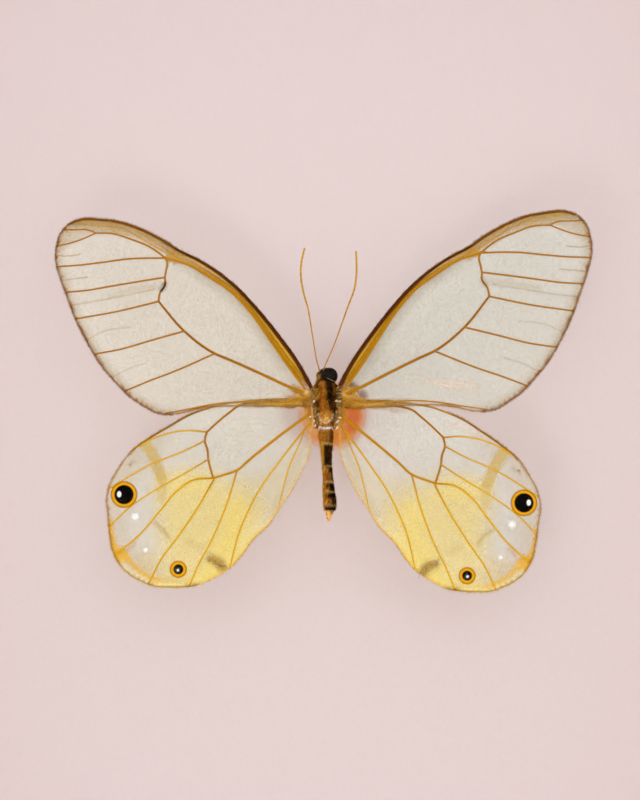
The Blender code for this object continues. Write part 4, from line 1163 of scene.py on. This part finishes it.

# The body's paint, as soft strokes: share, half width, softness, colour, line
# Golden strokes on the left and near-black ones on the right are partly the scales' colours, partly
# painted light and shade
THORAX_STROKES = [
    (0.9, 0.16, 0.25, tone(188, 134, 46), [(-1.25, 1.9), (-1.3, 0.0), (-1.15, -2.5)]),
    (0.85, 0.18, 0.3, tone(70, 36, 10), [(-0.95, 1.9), (-0.95, 0.0), (-0.85, -1.5)]),
    (0.8, 0.32, 0.5, tone(214, 124, 26), [(-0.4, 1.2), (-0.3, 0.0), (-0.1, -1.2)]),
    (0.98, 0.45, 0.5, tone(24, 10, 3), [(0.35, 2.2), (0.45, 1.0), (0.55, 0.1)]),
    (0.7, 0.15, 0.3, tone(132, 74, 20), [(0.85, 0.9), (0.85, -0.2)]),
    (0.7, 0.3, 0.5, tone(70, 34, 8), [(0.65, 0.0), (0.75, -0.9)]),
    (0.9, 0.16, 0.25, tone(22, 10, 3), [(1.2, 2.0), (1.22, 0.0), (1.05, -2.0)]),
]
PALE_STROKES = [
    (0.9, 0.06, 0.1, tone(240, 228, 196),
     [(-1.02, -1.7), (-0.55, -2.55), (0.0, -2.95), (0.5, -2.6), (0.95, -1.75)]),
    (1, 0.13, 0.12, tone(255, 252, 240), [(-0.85, -3.42), (0.0, -3.52), (0.7, -3.45)]),
]
ABDOMEN_STROKES = [
    (0.95, 0.34, 0.3, tone(36, 18, 5), [(0.05, -5.7), (0.15, -7.9)]),
    (0.85, 0.2, 0.3, tone(150, 96, 30), [(0.4, -9.2), (0.55, -10.0)]),
    (0.85, 0.18, 0.3, tone(170, 112, 40), [(0.2, -12.3), (0.6, -12.7), (0.3, -13.2)]),
]
SCUTELLUM = [
    (-1.02, -1.7), (-0.5, -1.3), (0.0, -1.2), (0.5, -1.3), (0.95, -1.75), (0.5, -2.6),
    (0.0, -2.95), (-0.55, -2.55)]
WAVE = [(-0.6, 0), (-0.2, -0.12), (0.2, 0.06), (0.7, 0)]
WAVE_LEVELS = (-4.05, -4.6, -5.0)

# Rings round the abdomen: level and strength of the pale ones, level and start of the dark ones
PALE_RINGS = ((-5.4, 0.95), (-8.2, 0.6), (-10.2, 0.85), (-11.45, 0.7), (-13.2, 0.4))
DARK_RINGS = ((-10.75, 0.3), (-11.9, 0.1), (-13.55, -0.2))


def body_paint(chart):
    """The body's colours, ringed behind: golden brown on its left and near black on its right,
    partly its scales' own colours and partly painted light and painted shade from the left.
    """
    paint = Paint(chart, FILM, tone(164, 100, 26), 1.0)
    x, z = chart[:, 0], chart[:, 1]
    lay_strokes(paint, THORAX_STROKES)
    for across, up, long, wide, shade, strength in MOTTLES:
        paint.lay(strength * disc(chart, (across, up), (wide, long), 0.1), MOTTLE_TONES[int(shade)])
    paint.lay(0.95 * patch(chart, SCUTELLUM, 0.3), tone(192, 130, 44))
    # Painted highlight on the scutellum's lower part
    paint.lay(0.5 * disc(chart, (-0.05, -2.35), (0.45, 0.3), 0.3), tone(244, 194, 108))
    lay_strokes(paint, PALE_STROKES)
    tail = z < -3.65
    # Golden on the abdomen's left: partly its own scales, partly painted light
    paint.lay(0.85 * tail * fade(x, -0.5, 0.05), tone(232, 160, 50))
    paint.lay(0.7 * tail * (z > -5.2), tone(170, 108, 32))
    for level in WAVE_LEVELS:
        paint.lay(0.75 * stroke(chart, np.add(WAVE, (0, level)), 0.04, 0.12), tone(66, 32, 8))
    # Darker and near black on the abdomen's right: partly its own scales, partly painted shade
    paint.lay(0.8 * tail * fade(-x, -0.6, -0.3) * (z > -5.2), tone(84, 46, 12))
    paint.lay(0.92 * (z < -5.2) * fade(-x, -0.6, -0.2), tone(34, 17, 6))
    lay_strokes(paint, ABDOMEN_STROKES)
    for level, strength in PALE_RINGS:
        paint.lay(strength * fade(np.abs(z - level), 0.04, 0.18), tone(222, 178, 92))
    for level, start in DARK_RINGS:
        across = fade(-x, -start - 0.2, -start)
        paint.lay(0.97 * fade(np.abs(z - level), 0.14, 0.3) * across, tone(18, 9, 4))
    paint.lay(0.95 * fade(z, -14.0, -13.75), tone(238, 180, 98))
    paint.lay(0.7 * fade(np.abs(z + 14.1), 0.1, 0.3) * fade(-x, -0.7, -0.4), tone(128, 80, 30))
    paint.lay(0.9 * fade(-z, -2.6, -2.2), tone(30, 15, 6))
    paint.lay(0.8 * stroke(chart, [(-1.0, 2.6), (-0.8, 3.3)], 0.2, 0.3), tone(200, 150, 60))
    return paint.pigment


def add_body():
    """Thorax, abdomen and head in one skin."""
    rings = even_line(BODY_RINGS, BODY_STEP)
    up, across, half_width, half_depth, height = rings.T
    notch = np.zeros(len(rings))
    for line in SEGMENT_LINES:
        notch = np.maximum(notch, fade(np.abs(up - line), 0.0, 0.22))
    angles = np.linspace(0, 2 * np.pi, BODY_SIDES, endpoint=False)[None, :]
    waves = np.sin(7 * angles + 3.1 * up[:, None]) * np.cos(5 * angles - 2.3 * up[:, None])
    swell = (1 - 0.09 * notch)[:, None] * (1 + 0.012 * waves)
    right = (across[:, None] + half_width[:, None] * swell * np.cos(angles)).ravel()
    off = (height[:, None] + half_depth[:, None] * swell * np.sin(angles)).ravel()
    level = np.repeat(up, BODY_SIDES)
    material = attribute_material("body_skin", 0.6, 5200.0, 0.00015, 0.04, SKIN_SPREAD)
    add_solid("fine_body", on_card(right, level, off), loft_faces(len(rings), BODY_SIDES), material,
              ("body",), body_paint(np.column_stack([right, level])))
    return rings


def add_eyes():
    """Two glossy dark eyes with many small facets."""
    material, tree, surface = new_material("eye_gloss")
    place = add_node(tree, "TexCoord").outputs["Object"]
    facets = add_node(tree, "TexVoronoi", vector=place, scale=16000.0).outputs["Distance"]
    bump = add_node(tree, "Bump", strength=0.25, distance=0.000002, height=facets).outputs[0]
    tint = add_node(tree, "TexNoise", vector=place, scale=1500.0).outputs["Fac"]
    colour = add_ramp(tree, tint, (0.0, (0.002, 0.0015, 0.001)), (1.0, (0.014, 0.006, 0.002)))
    made = add_node(tree, "BsdfPrincipled", base_color=colour, roughness=0.12,
                    specular_ior_level=0.08, normal=bump)
    feed(tree, surface, made.outputs[0])
    along, beside, front = round_grid(EYE_SIDES, EYE_ROWS, 0.04)
    for name, (up, across, height, radius) in zip(("eye_right", "eye_left"), EYES):
        points = on_card(across + radius * beside, up + radius * along, height + radius * front)
        add_solid(name, points, loft_faces(EYE_ROWS, EYE_SIDES), material, ())


def add_hairs(name, roots, ways, lengths, widths, colours, material, droop=FUR_DROOP):
    """Many tapered hairs in one mesh: each a bent three-sided spike with a closed foot."""
    count = len(roots)
    ways = ways / np.linalg.norm(ways, axis=1)[:, None]
    helper = np.where(np.abs(ways[:, 1:2]) < 0.8, (0, 1.0, 0), (1.0, 0, 0))
    side = np.cross(ways, helper)
    side /= np.linalg.norm(side, axis=1)[:, None]
    other = np.cross(ways, side)
    bend = other * (droop * lengths)[:, None]
    rings = []
    for share, thick in ((0.0, 1.0), (0.55, 0.75)):
        middle = roots + ways * (lengths * share)[:, None] + bend * share ** 2
        for corner in range(3):
            turn = 2 * np.pi * corner / 3
            step = side * math.cos(turn) + other * math.sin(turn)
            rings.append(middle + step * (widths * thick)[:, None])
    rings.append(roots + ways * lengths[:, None] + bend)
    points = np.stack(rings, axis=1).reshape(-1, 3) * MM
    pattern = [(2, 1, 0), (0, 1, 4, 3), (1, 2, 5, 4), (2, 0, 3, 5), (3, 4, 6), (4, 5, 6), (5, 3, 6)]
    faces = [tuple(hair * len(rings) + corner for corner in face)
             for hair in range(count) for face in pattern]
    add_solid(name, points, faces, material, (), np.repeat(colours, len(rings), axis=0))


def card_to_world(across, up, height):
    """The same places as on_card, but in millimetres."""
    return on_card(across, up, height) / MM


def add_body_hair(rings, material):
    """Short fur over the thorax, head and abdomen, and longer tufts where the wings join."""
    eye_up, eye_across, eye_height, eye_radius = EYES[0]
    draw = np.random.default_rng(FUR_SEED)
    up = draw.uniform(-13.75, 3.9, FUR_DRAWS)
    up = up[draw.random(len(up)) < np.where(up > WAIST, 1.0, 0.26)]
    order = np.argsort(rings[:, 0])
    across, half_width, half_depth, height = (
        np.interp(up, rings[order, 0], rings[order, column]) for column in (1, 2, 3, 4))
    angle = draw.uniform(-0.25, np.pi + 0.25, len(up))
    right = across + half_width * np.cos(angle)
    off = height + half_depth * np.sin(angle)
    bare = (up < -1.0) & (up > -3.75) & (np.abs(right) < 1.05)
    keep = ~bare | (draw.random(len(up)) < 0.07)
    keep &= ~((np.hypot(right - eye_across, up - eye_up) < eye_radius) & (up > 2.2))
    up, right, off, angle = up[keep], right[keep], off[keep], angle[keep]
    shades = draw.uniform(0.35, 2.2, (len(up), 1))
    # The fur takes the body's colours, its painted light and shade included
    colours = np.minimum(body_paint(np.column_stack([right, up])) * shades, 0.95)
    lengths = np.where(up > WAIST, 0.55, 0.32) * draw.uniform(0.6, 1.25, len(up))
    lean = np.column_stack([0.45 * np.cos(angle), -0.30 * np.sin(angle), -0.9 + 0 * angle])
    lean += draw.normal(0, 0.26, lean.shape)
    widths = np.where(up > WAIST, 0.026, 0.022)
    add_hairs("body_fur", card_to_world(right, up, off - 0.04), lean, lengths, widths, colours,
              material)
    line = even_line([(0.05, 2.8), (0.4, 2.64), (0.75, 2.46), (1.2, 2.3)], 0.05)
    spots, runs, _ = along_line(draw, line, EYE_SCALES, -0.025, 0.025)
    over = np.sqrt(np.maximum(
        eye_radius ** 2 - (spots[:, 0] - eye_across) ** 2 - (spots[:, 1] - eye_up) ** 2, 0.0))
    lean = np.column_stack([runs[:, 0], 0 * over, runs[:, 1]])
    add_hairs("eye_scales", card_to_world(spots[:, 0], spots[:, 1], eye_height + over), lean,
              np.full(EYE_SCALES, 0.16), np.full(EYE_SCALES, 0.018),
              np.tile(tone(206, 164, 104), (EYE_SCALES, 1)), material)
    palette = np.array([TUFT_GOLD, TUFT_BROWN, tone(52, 22, 6), PALE_GOLD, tone(250, 222, 150)])
    for name, side in (("tuft_left", -1), ("tuft_right", 1)):
        up = draw.uniform(-3.5, 1.6, TUFT_HAIRS)
        out = np.interp(up, (-3.5, 0.0, 1.6), (0.95, 1.22, 1.22))
        out += draw.uniform(0, 0.45, TUFT_HAIRS)
        off = 12.0 + 0.3 * draw.random(TUFT_HAIRS)
        fan = np.interp(up, (-3.5, -1.0, 0.3, 1.6), (-1.1, -0.7, 0.0, 0.9))
        fan += draw.normal(0, 0.2, TUFT_HAIRS)
        lean = np.column_stack([side * np.cos(fan), -0.2 * draw.random(TUFT_HAIRS), np.sin(fan)])
        lengths = np.interp(up, (-3.5, -1.0, 0.2, 1.6), (0.26, 0.3, 0.7, 0.34))
        lengths *= draw.uniform(0.5, 1.2, TUFT_HAIRS)
        colours = palette[draw.integers(0, len(palette), TUFT_HAIRS)]
        colours = colours * draw.uniform(0.7, 1.1, (TUFT_HAIRS, 1))
        add_hairs(name, card_to_world(side * out, up, off), lean, lengths,
                  np.full(TUFT_HAIRS, 0.028), colours, material)


def add_sclerites(material):
    """Small pale plates where the wings join the body."""
    along, beside, front = round_grid(PLATE_SIDES, PLATE_ROWS, 0.12)
    shades = mix(tone(196, 146, 70), tone(244, 226, 186), 1 - along ** 2)
    for number, (across, up, long, wide, turn) in enumerate(SCLERITES, 1):
        cosine, sine = math.cos(math.radians(turn)), math.sin(math.radians(turn))
        x = across + long * along * cosine - wide * beside * sine
        z = up + long * along * sine + wide * beside * cosine
        y = SCLERITE_LEVEL + 0.7 * wide * front
        add_solid(f"sclerite_{number}", on_card(x, z, y), loft_faces(PLATE_ROWS, PLATE_SIDES),
                  material, (), shades)


def tube(name, line, radii, sides, material, colours):
    """A closed round rod along a line of places in millimetres, in place of a solid."""
    runs = np.gradient(line, axis=0)
    runs /= np.linalg.norm(runs, axis=1)[:, None]
    side = np.cross(runs, (0, 1.0, 0))
    side /= np.linalg.norm(side, axis=1)[:, None]
    other = np.cross(runs, side)
    angles = np.linspace(0, 2 * np.pi, sides, endpoint=False)[None, :, None]
    steps = side[:, None] * np.cos(angles) + other[:, None] * np.sin(angles)
    points = line[:, None] + radii[:, None, None] * steps
    add_solid(f"fine_{name}", points.reshape(-1, 3) * MM, loft_faces(len(line), sides), material,
              (name,), np.repeat(colours, sides, axis=0))


def add_antennae(material):
    """Two beaded antennae that thicken outward."""
    for name, points in ANTENNAE.items():
        line = even_line(points, BEAD / 5)
        share = np.linspace(0, 1, len(line))
        beads = 1 + 0.11 * np.cos(2 * np.pi * np.arange(len(line)) / 5)
        thicker = (ANTENNA_THICK - ANTENNA_THIN) * fade(-share, -0.75, -0.2)
        radii = (ANTENNA_THIN + thicker) * beads
        radii[-3:] *= (0.9, 0.7, 0.35)
        colours = mix(tone(192, 130, 8), tone(222, 164, 8), share)
        colours = colours * (1 - 0.22 * (beads < 0.95))[:, None]
        tube(name, card_to_world(*line.T), radii, 10, material, colours)


def add_legs(material):
    """Four folded legs, each a little thicker at its joints."""
    for leg_name, points in LEGS.items():
        for side_name, side in (("left", -1), ("right", 1)):
            line = even_line([(side * x, up, height) for x, up, height in points], 0.12)
            share = np.linspace(0, 1, len(line))
            radii = LEG_THICK + (LEG_THIN - LEG_THICK) * share
            radii = radii * (1 + 0.12 * np.cos(share * 2 * np.pi * 3))
            radii[-2:] *= (0.8, 0.4)
            colours = mix(tone(150, 96, 34), tone(188, 132, 56), share)
            tube(f"{leg_name}_{side_name}", card_to_world(*line.T), radii, 12, material, colours)


def plug_colours_lit_and_shaded(chart):
    """The support's colours, with painted light and shade: peach on its lit left, deep orange on
    its shaded right and top, and paler orange below.
    """
    paint = Paint(chart, FILM, tone(255, 188, 132), 1.0)
    x, z = chart[:, 0], chart[:, 1]
    # Painted light and shade: deep orange where the support is turned from the light, paler orange
    # below where it is lit
    paint.lay(0.95 * fade(-x, -3.2, -0.8) * fade(-z, 4.0, 5.6), tone(248, 122, 12))
    paint.lay(0.9 * disc(chart, (0.8, -5.0), (2.4, 1.3), 1.4), tone(255, 162, 64))
    # Painted shadow: two dark strokes at the support's upper right, where the thorax's shade falls
    lay_strokes(paint, [(0.9, 0.4, 0.9, tone(104, 66, 64), [(2.7, 2.0), (3.5, 1.3)]),
                        (0.8, 0.35, 0.8, tone(122, 92, 96), [(4.1, 0.9), (4.8, 0.1)])])
    return paint.pigment


def add_plug():
    """The round-topped support, spread thinly at its foot."""
    material = attribute_material("plug_foam", 0.9, 1400.0, 0.0002, 0.05, FOAM_SPREAD)
    angles = np.linspace(0, 2 * np.pi, PLUG_SIDES, endpoint=False)[None, :]
    reach = np.linspace(1.0, 0.06, PLUG_ROWS)[:, None]
    height = PLUG_HEIGHT * (1 - reach ** 2) ** PLUG_SLOPE
    x = (PLUG_MIDDLE[0] + PLUG_RADIUS * reach * np.cos(angles)).ravel()
    z = (PLUG_MIDDLE[1] + PLUG_RADIUS * reach * np.sin(angles)).ravel()
    y = (0.02 + height + 0 * angles).ravel()
    chart = np.column_stack([x, z])
    away = np.linalg.norm(chart - GLOW_MIDDLE, axis=1)
    glow = mix(np.array(GLOW_TINT), plug_colours_lit_and_shaded(chart), fade(away, *PLUG_FADE))
    add_solid("fine_plug", on_card(x, z, y), loft_faces(PLUG_ROWS, PLUG_SIDES), material,
              ("support_plug",), mix(CARD_TINT, glow, fade(away, *GLOW_REACH)))


def grain_material(name, dark, light, scale, stretch, roughness, depth, metallic=0.0):
    """A finish from a stretched noise: wood, paper, board or brushed metal."""
    material, tree, surface = new_material(name)
    place = add_node(tree, "TexCoord").outputs["Object"]
    pull = add_node(tree, "Mapping", vector=place, scale=stretch).outputs[0]
    coarse = add_node(tree, "TexNoise", vector=pull, scale=scale, detail=6.0, roughness=0.65,
                      distortion=0.4).outputs["Fac"]
    colour = add_ramp(tree, coarse, (0.3, dark), (0.7, light))
    bump = add_node(tree, "Bump", strength=0.6, distance=depth, height=coarse).outputs[0]
    made = add_node(tree, "BsdfPrincipled", base_color=colour, roughness=roughness,
                    metallic=metallic, normal=bump)
    feed(tree, surface, made.outputs[0])
    return material


def add_round_tint(tree, middle, reach, share, tint):
    """A round soft-edged tint in a material, at a place on the card: the orange round the support's
    foot, or a painted shadow.
    """
    surface = next(node for node in tree.nodes if node.type == "BSDF_PRINCIPLED")
    paper = surface.inputs["Base Color"].links[0].from_socket
    place = add_node(tree, "TexCoord").outputs["Object"]
    spot = tuple(on_card(*middle, 0.0))
    away = add_node(tree, "VectorMath", place, spot, operation="DISTANCE").outputs["Value"]
    amount = add_node(tree, "MapRange", interpolation_type="SMOOTHSTEP", value=away,
                      from_min=reach[0] * MM, from_max=reach[1] * MM, to_min=share, to_max=0.0)
    tinted = add_node(tree, "Mix", data_type="RGBA", factor=amount.outputs["Result"])
    feed(tree, tinted.inputs[6], paper)
    feed(tree, tinted.inputs[7], tint)
    feed(tree, surface.inputs["Base Color"], tinted.outputs[2])


def dress_frame():
    """Finishes for the frame's own solids."""
    dark, light = (0.56, 0.40, 0.24), (0.72, 0.56, 0.38)
    level = grain_material("wood_level", dark, light, 700.0, (0.05, 1.0, 1.0), 0.5, 0.0002)
    upright = grain_material("wood_upright", dark, light, 700.0, (1.0, 1.0, 0.05), 0.5, 0.0002)
    paper, card = (
        grain_material(name, CARD_TINT * (1 - PAPER_SPREAD), CARD_TINT * (1 + PAPER_SPREAD),
                       2600.0, (1, 1, 1), 0.92, 0.00003)
        for name in ("spacer_paper", "card_paper"))
    add_round_tint(card.node_tree, GLOW_MIDDLE, GLOW_REACH, 1.0, GLOW_TINT)
    # Painted shadow: two dark mauve spots up and right of the support, where the thorax and support
    # cast shade
    for middle, reach, share in PAINTED_SHADOW_SPOTS:
        add_round_tint(card.node_tree, middle, reach, share, SHADOW_MAUVE)
    board = grain_material("board_fibre", (0.22, 0.14, 0.08), (0.34, 0.23, 0.14), 1500.0,
                           (1, 1, 1), 0.85, 0.0001)
    steel = grain_material("bright_metal", (0.50, 0.50, 0.51), (0.66, 0.66, 0.67), 3000.0,
                           (0.1, 1, 1), 0.33, 0.00002, 1.0)
    finishes = {
        "rail_top": level, "rail_bottom": level, "rail": upright, "backing_card": card,
        "spacer": paper, "back_board": board, "tab": steel, "hanger": steel, "pin": steel,
        "glass_pane": glass_material()}
    for name in nodes:
        start = next((start for start in finishes if name.startswith(start)), None)
        if start:
            dress(name, finishes[start])
    nodes["glass_pane"].visible_shadow = False


def add_camera():
    """The camera, straight in front of the window."""
    data = bpy.data.cameras.new("camera")
    data.sensor_width = SENSOR
    data.lens = SENSOR * VIEW_DISTANCE / VIEW_HEIGHT
    data.clip_start, data.clip_end = CLIP
    camera = bpy.data.objects.new("camera", data)
    camera.location = Vector((0, CARD_FACE - WING_LEVEL - VIEW_DISTANCE, WINDOW_MIDDLE)) * MM
    camera.rotation_euler = (math.radians(90), 0, 0)
    bpy.context.scene.collection.objects.link(camera)
    bpy.context.scene.camera = camera


def add_light(name, way, reach, size, power):
    """A square soft light, aimed at the middle of the window from some way off."""
    data = bpy.data.lights.new(name, "AREA")
    data.size = size
    data.energy = power
    light = bpy.data.objects.new(name, data)
    target = Vector((0, CARD_FACE, WINDOW_MIDDLE)) * MM
    light.location = target + Vector(way).normalized() * reach
    light.rotation_euler = (target - light.location).to_track_quat("-Z", "Y").to_euler()
    bpy.context.scene.collection.objects.link(light)


def add_stage():
    """A pale floor, a pale even sky, one key light and four soft ones."""
    mesh = bpy.data.meshes.new("floor")
    corners = [(-1, -1), (1, -1), (1, 1), (-1, 1)]
    mesh.from_pydata([(x * FLOOR_REACH, y * FLOOR_REACH, 0) for x, y in corners], [],
                     [(0, 1, 2, 3)])
    mesh.materials.append(plain_material("floor_paper", FLOOR_TINT, 0.9))
    floor = bpy.data.objects.new("floor", mesh)
    floor.visible_shadow = False
    bpy.context.scene.collection.objects.link(floor)
    world = bpy.data.worlds.new("studio")
    world.use_nodes = True
    background = world.node_tree.nodes["Background"]
    background.inputs["Color"].default_value = SKY_TINT
    background.inputs["Strength"].default_value = SKY
    bpy.context.scene.world = world
    add_light("key", KEY_FROM, KEY_REACH, KEY_SIZE, KEY_POWER)
    for name, right, up in (("soft_left", -1, 0), ("soft_right", 1, 0), ("soft_top", 0, 1),
                            ("soft_low", 0, -1)):
        add_light(name, (right * SOFT_SPREAD, -1.0, up * SOFT_SPREAD), SOFT_REACH, SOFT_SIZE,
                  SOFT_POWER)
    bpy.context.scene.view_settings.view_transform = "Standard"


add_camera()
add_stage()
film = film_material("clear_film")
fur = attribute_material("fur", 0.7, 4000.0, 0.00001, 0.03)
shell = attribute_material("shell", 0.4, 3000.0, 0.00001, 0.2)
forewing = {
    "margin": FOREWING_MARGIN, "tip": FOREWING_TIP, "costa": FOREWING_COSTA,
    "veins": FOREWING_VEINS, "marks": FOREWING_MARKS, "height": forewing_height,
    "paint": paint_forewing, "hair": forewing_hair, "slot": "clear_wing"}
hindwing = {
    "margin": HINDWING_MARGIN, "tip": HINDWING_TIP, "costa": HINDWING_COSTA,
    "veins": HINDWING_VEINS, "marks": HINDWING_MARKS, "height": hindwing_height,
    "paint": paint_hindwing, "hair": hindwing_hair, "slot": "yellow_wing"}
add_wing("hindwing_left", -1, LEFT_SET, hindwing, film, fur)
add_wing("hindwing_right", 1, HINDWING_RIGHT_SET, hindwing, film, fur)
add_wing("forewing_left", -1, LEFT_SET, forewing, film, fur)
add_wing("forewing_right", 1, FOREWING_RIGHT_SET, forewing, film, fur)
body_rings = add_body()
add_eyes()
add_body_hair(body_rings, fur)
add_sclerites(shell)
add_antennae(shell)
add_legs(shell)
add_plug()
dress_frame()
